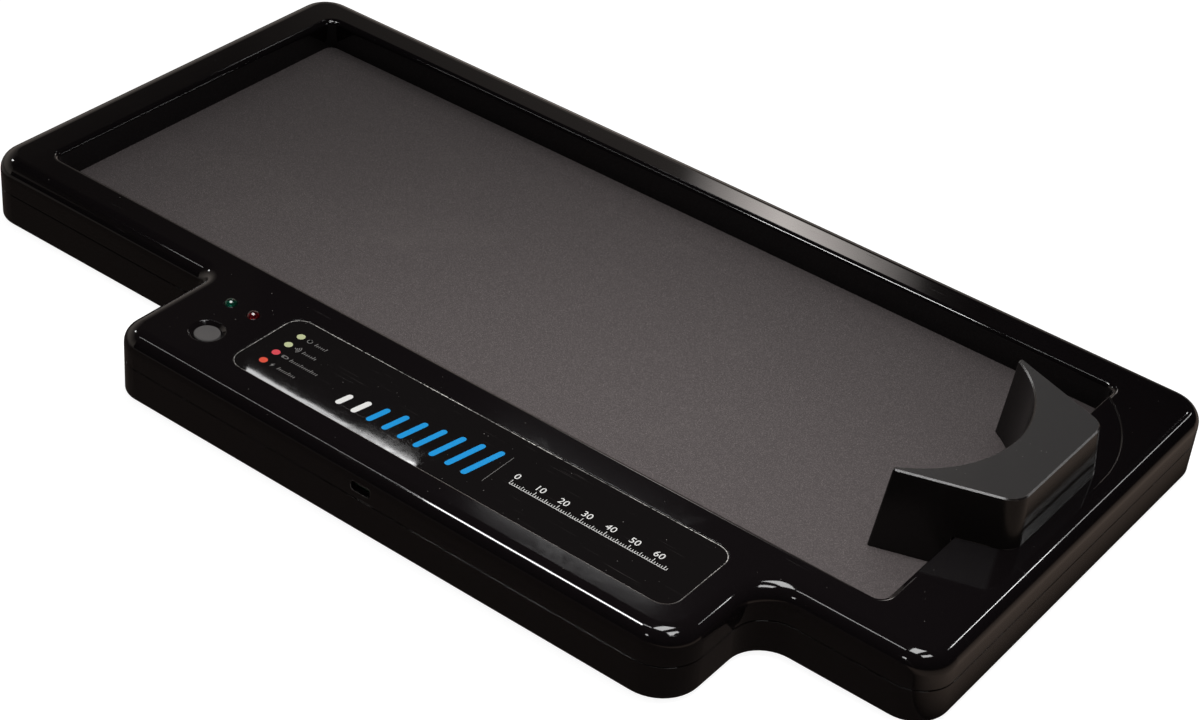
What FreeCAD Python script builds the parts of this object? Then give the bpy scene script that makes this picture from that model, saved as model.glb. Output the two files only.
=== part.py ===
import FreeCAD, Part
import math
import os
import Sketcher
from FreeCAD import Vector

# A foot measuring device: a low two-part moulded tray with a pressure sensing mat in its well,
# a heel cup at one end and a control wing on one long side.
# Frame: +X from the toe end to the heel end, -Y towards the wing, +Z up.
# The origin is the centre of the bounding box on the plane of the feet. Lengths in millimetres.

doc = FreeCAD.newDocument("foot_measuring_device")
sheet = doc.addObject("Spreadsheet::Sheet", "sizes")


class Size:
    """A length kept both as a number and as the expression that gives it."""

    def __init__(self, value, text):
        self.value = float(value)
        self.text = text

    def join(self, other, sign, value):
        return Size(value, "(" + self.text + " " + sign + " " + other.text + ")")

    def __add__(self, other):
        other = as_size(other)
        return self.join(other, "+", self.value + other.value)

    def __sub__(self, other):
        other = as_size(other)
        return self.join(other, "-", self.value - other.value)

    def __mul__(self, other):
        other = as_size(other)
        return self.join(other, "*", self.value * other.value)

    def __truediv__(self, other):
        other = as_size(other)
        return self.join(other, "/", self.value / other.value)

    def __neg__(self):
        return Size(-self.value, "(0 - " + self.text + ")")


def as_size(number):
    """A plain number as a Size, and a Size as it is."""
    if isinstance(number, Size):
        return number
    return Size(number, "(" + repr(float(number)) + ")")


def size(name, number):
    """Write one driving dimension into the next row of the sheet and give it back."""
    size.row += 1
    sheet.set("A%d" % size.row, name)
    sheet.set("B%d" % size.row, number)
    sheet.setAlias("B%d" % size.row, name)
    return Size(number, "sizes." + name)


size.row = 0

# The two shells
body_length = size("body_length", "440")
body_width = size("body_width", "197")
body_height = size("body_height", "27.4")
wing_heel_inset = size("wing_heel_inset", "67")
wing_length = size("wing_length", "253")
wing_reach = size("wing_reach", "48")
parting_height = size("parting_height", "13.8")
corner_radius = size("corner_radius", "14")
wing_corner_radius = size("wing_corner_radius", "16")
wing_toe_corner_radius = size("wing_toe_corner_radius", "11.5")
notch_radius = size("notch_radius", "14")
inner_corner_radius = size("inner_corner_radius", "4")
top_round = size("top_round", "6.8")
base_round = size("base_round", "1.2")
shell_wall = size("shell_wall", "2.5")
top_skin = size("top_skin", "2.6")
ceiling_chamfer = size("ceiling_chamfer", "2.4")
floor_thickness = size("floor_thickness", "2.5")
rib_thickness = size("rib_thickness", "1.6")
rib_depth = size("rib_depth", "5")
reveal_gap = size("reveal_gap", "0.5")
reveal_depth = size("reveal_depth", "0.6")
tongue_height = size("tongue_height", "1.4")
tongue_thickness = size("tongue_thickness", "1.1")
tongue_clearance = size("tongue_clearance", "0.1")

# The well and the sensor in it
rim_side = size("rim_side", "18")
rim_toe = size("rim_toe", "20.5")
heel_deck = size("heel_deck", "32")
well_depth = size("well_depth", "13")
well_corner_radius = size("well_corner_radius", "4")
well_edge_round = size("well_edge_round", "2.4")
mat_thickness = size("mat_thickness", "1.2")
film_thickness = size("film_thickness", "0.4")
film_margin = size("film_margin", "1")
plate_thickness = size("plate_thickness", "2")
rib_pitch = size("rib_pitch", "80")
rib_row_inset = size("rib_row_inset", "27")

# The heel cup
cup_rise = size("cup_rise", "19.5")
cup_side_shift = size("cup_side_shift", "1.2")
cup_tip_inset = size("cup_tip_inset", "55.7")
cup_rear_inset = size("cup_rear_inset", "14")
cup_tip_span = size("cup_tip_span", "88")
cup_tip_width = size("cup_tip_width", "2.2")
cup_rear_span = size("cup_rear_span", "59")
cup_hollow_depth = size("cup_hollow_depth", "23")
cup_corner_radius = size("cup_corner_radius", "8")
cup_tip_radius = size("cup_tip_radius", "0.9")
cup_edge_bevel = size("cup_edge_bevel", "0.5")
cup_draft = size("cup_draft", "4.5")
cup_step_clearance = size("cup_step_clearance", "0.3")
cup_screw_pitch = size("cup_screw_pitch", "24")
cup_screw_bite = size("cup_screw_bite", "10")
seat_depth = size("seat_depth", "0.6")
seat_rear_inset = size("seat_rear_inset", "8.8")
seat_near_margin = size("seat_near_margin", "20")
seat_far_margin = size("seat_far_margin", "29")
seat_slant = size("seat_slant", "7.5")
seat_arc_reach = size("seat_arc_reach", "43")

# The control wing
button_from_wing_toe = size("button_from_wing_toe", "26.8")
button_from_front = size("button_from_front", "22")
button_diameter = size("button_diameter", "9.8")
button_clearance = size("button_clearance", "0.3")
button_sink = size("button_sink", "0.8")
button_travel = size("button_travel", "0.5")
button_edge_bevel = size("button_edge_bevel", "0.5")
button_flange_height = size("button_flange_height", "1")
button_flange_overlap = size("button_flange_overlap", "1.2")
button_flange_gap = size("button_flange_gap", "0.3")
dish_width = size("dish_width", "1.6")
lamp_from_wing_toe = size("lamp_from_wing_toe", "20.6")
lamp_pitch = size("lamp_pitch", "11.2")
lamp_from_board_rear = size("lamp_from_board_rear", "9.6")
lamp_diameter = size("lamp_diameter", "5")
lamp_clearance = size("lamp_clearance", "0.1")
lamp_proud = size("lamp_proud", "1.6")
lamp_height = size("lamp_height", "8.6")
lamp_lead = size("lamp_lead", "0.5")
lamp_lead_pitch = size("lamp_lead_pitch", "2.54")
label_from_wing_toe = size("label_from_wing_toe", "43.4")
label_from_front = size("label_from_front", "14")
label_from_wing_heel = size("label_from_wing_heel", "13.3")
label_width = size("label_width", "38.2")
label_corner_radius = size("label_corner_radius", "7")
label_recess = size("label_recess", "0.9")
label_thickness = size("label_thickness", "0.5")
label_clearance = size("label_clearance", "0.15")

# The control board and what stands on it
board_from_wing_toe = size("board_from_wing_toe", "16")
board_battery_gap = size("board_battery_gap", "10")
board_front_gap = size("board_front_gap", "3.8")
board_width = size("board_width", "46.4")
board_thickness = size("board_thickness", "1.6")
board_top_height = size("board_top_height", "17.6")
board_screw_inset = size("board_screw_inset", "3.6")
socket_from_board_end = size("socket_from_board_end", "21.6")
socket_width = size("socket_width", "7.5")
socket_height = size("socket_height", "2.6")
socket_depth = size("socket_depth", "5.6")
socket_setback = size("socket_setback", "0.3")
socket_wall = size("socket_wall", "0.3")
slot_width = size("slot_width", "8.6")
slot_height = size("slot_height", "3.9")
slot_round = size("slot_round", "1")
switch_width = size("switch_width", "6")
switch_height = size("switch_height", "3.8")
plunger_diameter = size("plunger_diameter", "3.5")
plunger_depth = size("plunger_depth", "0.8")
plunger_clearance = size("plunger_clearance", "0.3")
ribbon_width = size("ribbon_width", "26")
ribbon_thickness = size("ribbon_thickness", "0.3")
ribbon_flat_run = size("ribbon_flat_run", "5")
ribbon_rise_run = size("ribbon_rise_run", "3.5")
connector_depth = size("connector_depth", "4.5")
connector_height = size("connector_height", "2")

# The battery
battery_from_wing_heel = size("battery_from_wing_heel", "21")
battery_from_front = size("battery_from_front", "6")
battery_length = size("battery_length", "80")
battery_width = size("battery_width", "38")
battery_thickness = size("battery_thickness", "8")
battery_round = size("battery_round", "2")
pad_thickness = size("pad_thickness", "1")
bay_clearance = size("bay_clearance", "0.6")
bay_height = size("bay_height", "6")
lead_diameter = size("lead_diameter", "1.4")
lead_pitch = size("lead_pitch", "2")
header_from_board_end = size("header_from_board_end", "13")
header_length = size("header_length", "8")
header_width = size("header_width", "7")
header_height = size("header_height", "4.4")
plug_length = size("plug_length", "5")
plug_height = size("plug_height", "3.4")

# Fasteners and feet
post_diameter = size("post_diameter", "8")
screw_inset = size("screw_inset", "9")
screw_corner_inset = size("screw_corner_inset", "27")
screw_shank = size("screw_shank", "2.9")
screw_bore = size("screw_bore", "3.4")
screw_head = size("screw_head", "5.6")
screw_head_height = size("screw_head_height", "2.2")
counterbore_diameter = size("counterbore_diameter", "6.6")
counterbore_depth = size("counterbore_depth", "4")
screw_bite = size("screw_bite", "6")
pilot_clearance = size("pilot_clearance", "0.05")
pilot_spare = size("pilot_spare", "0.5")
small_post = size("small_post", "6")
small_shank = size("small_shank", "2")
small_bore = size("small_bore", "2.6")
small_head = size("small_head", "4.2")
small_head_height = size("small_head_height", "1.5")
small_bite = size("small_bite", "4.5")
foot_height = size("foot_height", "1.6")
foot_diameter = size("foot_diameter", "14")
foot_inset = size("foot_inset", "28")

doc.recompute()

# Places along X
toe_x = -body_length / 2
heel_x = body_length / 2
wing_heel_x = heel_x - wing_heel_inset
wing_toe_x = wing_heel_x - wing_length
well_toe_x = toe_x + rim_toe
well_heel_x = heel_x - heel_deck

# Places along Y
far_y = (body_width + wing_reach) / 2
near_y = far_y - body_width
wing_y = near_y - wing_reach
well_near_y = near_y + rim_side
well_far_y = far_y - rim_side
centre_y = (near_y + far_y) / 2

# Heights
base_z = foot_height
floor_z = base_z + floor_thickness
parting_z = base_z + parting_height
rim_z = base_z + body_height
ceiling_z = rim_z - top_skin
mat_z = rim_z - well_depth
film_z = mat_z - mat_thickness
plate_z = film_z - film_thickness
plate_under_z = plate_z - plate_thickness
seat_z = rim_z - seat_depth
board_z = base_z + board_top_height
board_under_z = board_z - board_thickness

# How far a feature runs past a face that it cuts or joins
PAST = 1.0


# ---------------------------------------------------------------- helpers

def new_body(label):
    body = doc.addObject("PartDesign::Body", label)
    body.Label = label
    return body


def origin_plane(body, role):
    for feature in body.Origin.OriginFeatures:
        if feature.Role == role:
            return feature
    raise ValueError(role)


def new_sketch(body, level, role="XY_Plane"):
    """An empty sketch on one of the body's origin planes, moved out along its normal."""
    sketch = body.newObject("Sketcher::SketchObject", body.Label + "_sketch")
    sketch.AttachmentSupport = (origin_plane(body, role), [""])
    sketch.MapMode = "FlatFace"
    sketch.setExpression("AttachmentOffset.Base.z", as_size(level).text)
    return sketch


def fix(sketch, kind, places, value):
    """Add a dimension and bind it to the sheet."""
    value = as_size(value)
    index = sketch.addConstraint(Sketcher.Constraint(kind, *places, value.value))
    sketch.setExpression("Constraints[%d]" % index, value.text)


def fix_point(sketch, line, end, point):
    fix(sketch, "DistanceX", (-1, 1, line, end), point[0])
    fix(sketch, "DistanceY", (-1, 1, line, end), point[1])


def draw_polygon(sketch, corners):
    """Straight sides through the corners, each corner held by its two distances."""
    points = [Vector(as_size(x).value, as_size(y).value, 0) for x, y in corners]
    first = sketch.GeometryCount
    count = len(corners)
    for index in range(count):
        line = Part.LineSegment(points[index], points[(index + 1) % count])
        sketch.addGeometry(line, False)
    for index in range(count):
        following = first + (index + 1) % count
        sketch.addConstraint(Sketcher.Constraint("Coincident", first + index, 2, following, 1))
    for index in range(count):
        fix_point(sketch, first + index, 1, corners[index])


def draw_rounded(sketch, corners, radii):
    """Sides along X and Y, taken anticlockwise, with an arc of its own radius at each corner."""
    points = [Vector(x.value, y.value, 0) for x, y in corners]
    count = len(points)
    first = sketch.GeometryCount
    ways = []
    for index in range(count):
        way = points[(index + 1) % count] - points[index]
        ways.append(way.normalize())
    for index in range(count):
        following = (index + 1) % count
        start = points[index] + ways[index] * radii[index].value
        end = points[following] - ways[index] * radii[following].value
        sketch.addGeometry(Part.LineSegment(start, end), False)
    arc_ends = []
    for index in range(count):
        arriving = ways[index - 1]
        leaving = ways[index]
        radius = radii[index].value
        turn = arriving.cross(leaving).z
        centre = points[index] - arriving * radius + leaving * radius
        start = points[index] - arriving * radius
        end = points[index] + leaving * radius
        if turn < 0:
            start, end = end, start
        begin = math.atan2(start.y - centre.y, start.x - centre.x)
        finish = math.atan2(end.y - centre.y, end.x - centre.x)
        if finish < begin:
            finish += 2 * math.pi
        circle = Part.Circle(centre, Vector(0, 0, 1), radius)
        sketch.addGeometry(Part.ArcOfCircle(circle, begin, finish), False)
        arc_ends.append((1, 2) if turn > 0 else (2, 1))
    for index in range(count):
        line = first + index
        arc = first + count + index
        before = first + (index - 1) % count
        arrive, leave = arc_ends[index]
        sketch.addConstraint(Sketcher.Constraint("Tangent", before, 2, arc, arrive))
        sketch.addConstraint(Sketcher.Constraint("Tangent", arc, leave, line, 1))
        fix(sketch, "Radius", (arc,), radii[index])
        if abs(ways[index].x) > 0.5:
            sketch.addConstraint(Sketcher.Constraint("Horizontal", line))
            fix(sketch, "DistanceY", (-1, 1, line, 1), corners[index][1])
        else:
            sketch.addConstraint(Sketcher.Constraint("Vertical", line))
            fix(sketch, "DistanceX", (-1, 1, line, 1), corners[index][0])


def draw_circles(sketch, centres, diameter):
    for x, y in centres:
        x = as_size(x)
        y = as_size(y)
        circle = Part.Circle(Vector(x.value, y.value, 0), Vector(0, 0, 1), diameter.value / 2)
        index = sketch.addGeometry(circle, False)
        fix(sketch, "Radius", (index,), diameter / 2)
        fix_point(sketch, index, 3, (x, y))


def rectangle(x_low, x_high, y_low, y_high):
    return [(x_low, y_low), (x_high, y_low), (x_high, y_high), (x_low, y_high)]


def pad(body, sketch, length):
    feature = body.newObject("PartDesign::Pad", body.Label + "_pad")
    feature.Profile = sketch
    feature.setExpression("Length", as_size(length).text)
    doc.recompute()
    return feature


def pocket(body, sketch, length, upward):
    """Cut length deep: upward along the sketch's normal, or else against it."""
    before = body.Shape.Volume
    feature = body.newObject("PartDesign::Pocket", body.Label + "_pocket")
    feature.Profile = sketch
    feature.Reversed = upward
    feature.setExpression("Length", as_size(length).text)
    doc.recompute()
    if body.Shape.Volume >= before:
        raise ValueError(feature.Name + " cuts nothing")
    return feature


def edges_where(shape, test):
    return ["Edge%d" % (index + 1) for index, edge in enumerate(shape.Edges) if test(edge)]


def faces_where(shape, test):
    return ["Face%d" % (index + 1) for index, face in enumerate(shape.Faces) if test(face)]


def flat_at(edge, level):
    box = edge.BoundBox
    return abs(box.ZMin - level.value) < 1e-4 and abs(box.ZMax - level.value) < 1e-4


def dress(body, kind, names, radius):
    """A fillet or chamfer on the named edges of the body as it is now."""
    base = body.Tip
    feature = body.newObject("PartDesign::" + kind, body.Label + "_" + kind.lower())
    feature.Base = (base, names)
    if kind == "Fillet":
        feature.setExpression("Radius", as_size(radius).text)
    else:
        feature.setExpression("Size", as_size(radius).text)
    doc.recompute()
    if not names or "Invalid" in feature.State:
        raise ValueError(feature.Name + " could not dress its edges")
    return feature


def slab(label, x_low, x_high, y_low, y_high, bottom, thickness, radius):
    """A flat plate with rounded corners."""
    body = new_body(label)
    sketch = new_sketch(body, bottom)
    draw_rounded(sketch, rectangle(x_low, x_high, y_low, y_high), [radius] * 4)
    pad(body, sketch, thickness)
    return body


def block(name, x_centre, y_centre, bottom, x_size, y_size, z_size):
    """A Part::Box centred in plan."""
    box = doc.addObject("Part::Box", name)
    box.setExpression("Length", as_size(x_size).text)
    box.setExpression("Width", as_size(y_size).text)
    box.setExpression("Height", as_size(z_size).text)
    box.setExpression("Placement.Base.x", (as_size(x_centre) - as_size(x_size) / 2).text)
    box.setExpression("Placement.Base.y", (as_size(y_centre) - as_size(y_size) / 2).text)
    box.setExpression("Placement.Base.z", as_size(bottom).text)
    return box


def post(name, x, y, bottom, diameter, height):
    """A Part::Cylinder standing on bottom."""
    cylinder = doc.addObject("Part::Cylinder", name)
    cylinder.setExpression("Radius", (as_size(diameter) / 2).text)
    cylinder.setExpression("Height", as_size(height).text)
    cylinder.setExpression("Placement.Base.x", as_size(x).text)
    cylinder.setExpression("Placement.Base.y", as_size(y).text)
    cylinder.setExpression("Placement.Base.z", as_size(bottom).text)
    return cylinder


def fused(name, shapes):
    fuse = doc.addObject("Part::MultiFuse", name)
    fuse.Shapes = shapes
    fuse.Refine = True
    return fuse


def cut(name, base, tool):
    result = doc.addObject("Part::Cut", name)
    result.Base = base
    result.Tool = tool
    return result


def grouped(label, shapes):
    """Several separate solids kept as one piece of the assembly."""
    piece = doc.addObject("Part::Feature", label)
    piece.Label = label
    piece.Shape = Part.makeCompound(shapes)
    return piece


def labelled(feature, label):
    feature.Label = label
    return feature


# ---------------------------------------------------------------- shared places

def outline(inset):
    """Corners and radii of the tray's plan, drawn in by inset."""
    corners = [
        (toe_x + inset, near_y + inset),
        (wing_toe_x + inset, near_y + inset),
        (wing_toe_x + inset, wing_y + inset),
        (wing_heel_x - inset, wing_y + inset),
        (wing_heel_x - inset, near_y + inset),
        (heel_x - inset, near_y + inset),
        (heel_x - inset, far_y - inset),
        (toe_x + inset, far_y - inset),
    ]
    body_corner = corner_radius - inset
    wing_corners = [wing_toe_corner_radius - inset, wing_corner_radius - inset]
    radii = [body_corner, inner_corner_radius + inset] + wing_corners
    radii += [notch_radius + inset, body_corner, body_corner, body_corner]
    return corners, radii


def well(outset):
    """Corners and radii of the well's plan, grown by outset."""
    corners = rectangle(
        well_toe_x - outset, well_heel_x + outset, well_near_y - outset, well_far_y + outset
    )
    return corners, [well_corner_radius + outset] * 4


def spread(low, high, count):
    """Evenly spaced places from low to high."""
    return [low + (high - low) * (index / (count - 1)) for index in range(count)]


def shell_screw_places():
    """Three screws along the far side, two along the near side and one in each wing corner."""
    places = []
    for x in spread(toe_x + screw_corner_inset, heel_x - screw_corner_inset, 3):
        places.append((x, far_y - screw_inset))
    for x in (toe_x + screw_corner_inset, heel_x - screw_corner_inset):
        places.append((x, near_y + screw_inset))
    for x in (wing_toe_x + screw_inset, wing_heel_x - screw_inset):
        places.append((x, wing_y + screw_inset))
    return places


def board_screw_places():
    xs = (board_toe_x + board_screw_inset, board_heel_x - board_screw_inset)
    ys = (board_front_y + board_screw_inset, board_rear_y - board_screw_inset)
    return [(x, y) for x in xs for y in ys]


def foot_places():
    xs = (toe_x + foot_inset, heel_x - foot_inset)
    ys = (near_y + foot_inset, far_y - foot_inset)
    places = [(x, y) for x in xs for y in ys]
    for x in (wing_toe_x + foot_inset, wing_heel_x - foot_inset):
        places.append((x, wing_y + foot_inset))
    return places


def cup_screw_places():
    return [(cup_screw_x, cup_centre_y + cup_screw_pitch * side) for side in (-0.5, 0.5)]


# The wing's fittings
button_x = wing_toe_x + button_from_wing_toe
button_y = wing_y + button_from_front
green_lamp_x = wing_toe_x + lamp_from_wing_toe
red_lamp_x = green_lamp_x + lamp_pitch
label_toe_x = wing_toe_x + label_from_wing_toe
label_heel_x = wing_heel_x - label_from_wing_heel
label_front_y = wing_y + label_from_front

# The battery
battery_heel_x = wing_heel_x - battery_from_wing_heel
battery_toe_x = battery_heel_x - battery_length
battery_front_y = wing_y + battery_from_front
battery_rear_y = battery_front_y + battery_width
battery_middle_y = (battery_front_y + battery_rear_y) / 2
battery_z = floor_z + pad_thickness

# The control board runs from the wing's toe end almost to the battery
board_toe_x = wing_toe_x + board_from_wing_toe
board_heel_x = battery_toe_x - board_battery_gap
board_length = board_heel_x - board_toe_x
board_front_y = wing_y + board_front_gap
board_rear_y = board_front_y + board_width
lamp_y = board_rear_y - lamp_from_board_rear
ribbon_x = (board_toe_x + board_heel_x) / 2
header_x = board_heel_x - header_from_board_end
socket_x = board_heel_x - socket_from_board_end
socket_mouth_y = wing_y + shell_wall + socket_setback
slot_z = board_z + socket_height / 2 - slot_height / 2

# The heel cup: its rear wall stands on the deck, its horns reach down to the mat
cup_tip_x = heel_x - cup_tip_inset
cup_rear_x = heel_x - cup_rear_inset
cup_centre_y = centre_y + cup_side_shift
cup_top_z = rim_z + cup_rise
cup_screw_x = (well_heel_x + cup_rear_x) / 2


# ---------------------------------------------------------------- the two shells

def make_top_shell():
    """Rim, well wall, heel deck and wing top, moulded in one piece and ribbed underneath."""
    body = new_body("top_shell")

    sketch = new_sketch(body, parting_z)
    draw_rounded(sketch, *outline(as_size(0)))
    pad(body, sketch, rim_z - parting_z)
    dress(body, "Fillet", edges_where(body.Shape, lambda edge: flat_at(edge, rim_z)), top_round)

    sketch = new_sketch(body, parting_z)
    draw_rounded(sketch, *outline(shell_wall))
    pocket(body, sketch, ceiling_z - parting_z, True)
    roof_edges = edges_where(body.Shape, lambda edge: flat_at(edge, ceiling_z))
    dress(body, "Chamfer", roof_edges, ceiling_chamfer)

    # The well's wall comes down from the ceiling and clamps the mat's margin
    sketch = new_sketch(body, mat_z)
    draw_rounded(sketch, *well(shell_wall))
    pad(body, sketch, rim_z - mat_z - top_skin / 2)
    sketch = new_sketch(body, rim_z)
    draw_rounded(sketch, *well(as_size(0)))
    pocket(body, sketch, rim_z - mat_z + PAST, False)

    def on_well_mouth(edge):
        middle = edge.CenterOfMass
        inside_x = well_toe_x.value - 0.1 < middle.x < well_heel_x.value + 0.1
        inside_y = well_near_y.value - 0.1 < middle.y < well_far_y.value + 0.1
        return flat_at(edge, rim_z) and inside_x and inside_y

    dress(body, "Fillet", edges_where(body.Shape, on_well_mouth), well_edge_round)

    # Cross ribs between the outer wall and the well's wall, kept inside the rounded top edge
    sketch = new_sketch(body, ceiling_z - rib_depth)
    half_rib = rib_thickness / 2
    in_wall = shell_wall * 0.8
    in_well_wall = shell_wall / 2
    for x in spread(toe_x + screw_inset * 7.5, heel_x - screw_inset * 7.5, 4):
        sides = rectangle(x - half_rib, x + half_rib, well_far_y + in_well_wall, far_y - in_wall)
        draw_polygon(sketch, sides)
    for y in (near_y + body_width / 3, centre_y, far_y - body_width / 3):
        sides = rectangle(toe_x + in_wall, well_toe_x - in_well_wall, y - half_rib, y + half_rib)
        draw_polygon(sketch, sides)
    pad(body, sketch, rib_depth + top_skin / 8)

    # Posts for the shell screws, with their pilot holes
    sketch = new_sketch(body, parting_z)
    draw_circles(sketch, shell_screw_places(), post_diameter)
    pad(body, sketch, ceiling_z - parting_z + top_skin / 3)
    sketch = new_sketch(body, parting_z)
    draw_circles(sketch, shell_screw_places(), screw_shank + pilot_clearance * 2)
    pocket(body, sketch, screw_bite + pilot_spare, True)

    # Posts that the control board hangs from
    sketch = new_sketch(body, board_z)
    draw_circles(sketch, board_screw_places(), small_post)
    pad(body, sketch, ceiling_z - board_z + top_skin / 3)
    sketch = new_sketch(body, board_z)
    draw_circles(sketch, board_screw_places(), small_shank + pilot_clearance * 2)
    pocket(body, sketch, small_bite + pilot_spare, True)

    # A rebate inside the wall for the bottom shell's tongue, and the reveal at the parting line
    sketch = new_sketch(body, parting_z)
    draw_rounded(sketch, *outline(shell_wall + PAST))
    draw_rounded(sketch, *outline(shell_wall - tongue_thickness - tongue_clearance))
    pocket(body, sketch, tongue_height + tongue_clearance, True)
    sketch = new_sketch(body, parting_z)
    draw_rounded(sketch, *outline(as_size(-PAST)))
    draw_rounded(sketch, *outline(reveal_depth))
    pocket(body, sketch, reveal_gap, True)

    # The label's recess, the lamps' holes and the dished hole for the button
    sketch = new_sketch(body, rim_z)
    sides = rectangle(
        label_toe_x, label_heel_x, label_front_y, label_front_y + label_width
    )
    draw_rounded(sketch, sides, [label_corner_radius] * 4)
    pocket(body, sketch, label_recess, False)
    sketch = new_sketch(body, rim_z)
    draw_circles(sketch, [(green_lamp_x, lamp_y), (red_lamp_x, lamp_y)], lamp_diameter + lamp_clearance * 2)
    pocket(body, sketch, top_skin + PAST, False)
    sketch = new_sketch(body, rim_z)
    draw_circles(sketch, [(button_x, button_y)], button_diameter + button_clearance * 2)
    pocket(body, sketch, top_skin + PAST, False)

    def on_button_mouth(edge):
        middle = edge.BoundBox.Center
        offset = math.hypot(middle.x - button_x.value, middle.y - button_y.value)
        return flat_at(edge, rim_z) and offset < 0.5

    dress(body, "Chamfer", edges_where(body.Shape, on_button_mouth), dish_width)

    # The slot for the charging plug, through the wing's front
    sketch = new_sketch(body, -(wing_y - PAST), "XZ_Plane")
    sides = rectangle(
        socket_x - slot_width / 2, socket_x + slot_width / 2, slot_z, slot_z + slot_height
    )
    draw_rounded(sketch, sides, [slot_round] * 4)
    pocket(body, sketch, shell_wall + PAST * 2, False)

    # The shallow seat in the deck round the heel cup, and the cup's screw holes
    sketch = new_sketch(body, rim_z)
    draw_seat(sketch)
    pocket(body, sketch, seat_depth, False)
    sketch = new_sketch(body, rim_z)
    draw_circles(sketch, cup_screw_places(), screw_bore)
    pocket(body, sketch, top_skin + PAST, False)
    return body


def draw_seat(sketch):
    """The seat's plan: a slanted near side, a straight rear side and a round far side."""
    open_x = well_heel_x - PAST * 3
    rear_x = heel_x - seat_rear_inset
    near_start = (open_x, near_y + seat_near_margin * 1.7)
    near_end = (rear_x, near_y + seat_near_margin * 1.7 + seat_slant)
    arc_start = (rear_x, far_y - seat_far_margin - seat_arc_reach)
    arc_end = (open_x, far_y - seat_far_margin + seat_slant)
    corners = [near_start, near_end, arc_start, arc_end]
    points = [Vector(x.value, y.value, 0) for x, y in corners]
    sketch.addGeometry(Part.LineSegment(points[0], points[1]), False)
    sketch.addGeometry(Part.LineSegment(points[1], points[2]), False)
    across = points[2].x - points[3].x
    along = points[3].y - points[2].y
    radius = (across * across + along * along) / (2 * across)
    centre = Vector(points[2].x - radius, points[2].y, 0)
    turn = math.atan2(points[3].y - centre.y, points[3].x - centre.x)
    circle = Part.Circle(centre, Vector(0, 0, 1), radius)
    sketch.addGeometry(Part.ArcOfCircle(circle, 0, turn), False)
    sketch.addGeometry(Part.LineSegment(points[3], points[0]), False)
    sketch.addConstraint(Sketcher.Constraint("Coincident", 0, 2, 1, 1))
    sketch.addConstraint(Sketcher.Constraint("Tangent", 1, 2, 2, 1))
    sketch.addConstraint(Sketcher.Constraint("Coincident", 2, 2, 3, 1))
    sketch.addConstraint(Sketcher.Constraint("Coincident", 3, 2, 0, 1))
    for line, corner in zip((0, 1, 3), (near_start, near_end, arc_end)):
        fix_point(sketch, line, 1, corner)
    fix_point(sketch, 1, 2, arc_start)


def make_bottom_shell():
    """The tray below the parting line: floor, ribs, screw posts, battery bay and tongue."""
    body = new_body("bottom_shell")

    sketch = new_sketch(body, base_z)
    draw_rounded(sketch, *outline(as_size(0)))
    pad(body, sketch, parting_z - base_z)
    dress(body, "Fillet", edges_where(body.Shape, lambda edge: flat_at(edge, base_z)), base_round)
    sketch = new_sketch(body, floor_z)
    draw_rounded(sketch, *outline(shell_wall))
    pocket(body, sketch, parting_z - floor_z + PAST, True)

    # The tongue that stands up inside the top shell's wall
    sketch = new_sketch(body, parting_z - PAST)
    draw_rounded(sketch, *outline(shell_wall - tongue_thickness))
    draw_rounded(sketch, *outline(shell_wall))
    pad(body, sketch, tongue_height + PAST)

    # Ribs that carry the sensor's backing plate
    half_rib = rib_thickness / 2
    sketch = new_sketch(body, floor_z - floor_thickness / 2)
    plate_rows = (well_near_y + rib_row_inset, centre_y, well_far_y - rib_row_inset)
    for y in plate_rows:
        sides = rectangle(toe_x + shell_wall / 2, heel_x - shell_wall / 2, y - half_rib, y + half_rib)
        draw_polygon(sketch, sides)
    pad(body, sketch, plate_under_z - floor_z + floor_thickness / 2)
    sketch = new_sketch(body, floor_z - floor_thickness / 2)
    rib_start = well_near_y - shell_wall
    rib_end = far_y - shell_wall / 2
    middle_x = (well_toe_x + well_heel_x) / 2
    for step in (-2, -1, 0, 1, 2):
        x = middle_x + rib_pitch * step
        draw_polygon(sketch, rectangle(x - half_rib, x + half_rib, rib_start, rib_end))
    pad(body, sketch, plate_under_z - floor_z + floor_thickness / 2)

    # Posts for the shell screws, counterbored from below
    sketch = new_sketch(body, floor_z - floor_thickness / 2)
    draw_circles(sketch, shell_screw_places(), post_diameter)
    pad(body, sketch, parting_z - floor_z + floor_thickness / 2)
    sketch = new_sketch(body, base_z)
    draw_circles(sketch, shell_screw_places(), screw_bore)
    pocket(body, sketch, parting_height + PAST, True)
    sketch = new_sketch(body, base_z)
    draw_circles(sketch, shell_screw_places(), counterbore_diameter)
    pocket(body, sketch, counterbore_depth, True)

    # A low wall round the battery
    bay_inner = rectangle(
        battery_toe_x - bay_clearance, battery_heel_x + bay_clearance,
        battery_front_y - bay_clearance, battery_rear_y + bay_clearance,
    )
    grown = bay_clearance + rib_thickness
    bay_outer = rectangle(
        battery_toe_x - grown, battery_heel_x + grown, battery_front_y - grown, battery_rear_y + grown
    )
    sketch = new_sketch(body, floor_z - floor_thickness / 2)
    draw_polygon(sketch, bay_outer)
    draw_polygon(sketch, bay_inner)
    pad(body, sketch, bay_height + floor_thickness / 2)
    gate_x = battery_toe_x - grown - PAST
    gate_half = lead_pitch + lead_diameter
    gate = rectangle(
        gate_x, battery_toe_x - bay_clearance / 2, battery_middle_y - gate_half,
        battery_middle_y + gate_half,
    )
    sketch = new_sketch(body, floor_z + bay_height / 3)
    draw_polygon(sketch, gate)
    pocket(body, sketch, bay_height, True)
    return body


# ---------------------------------------------------------------- the sensor in the well

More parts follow.
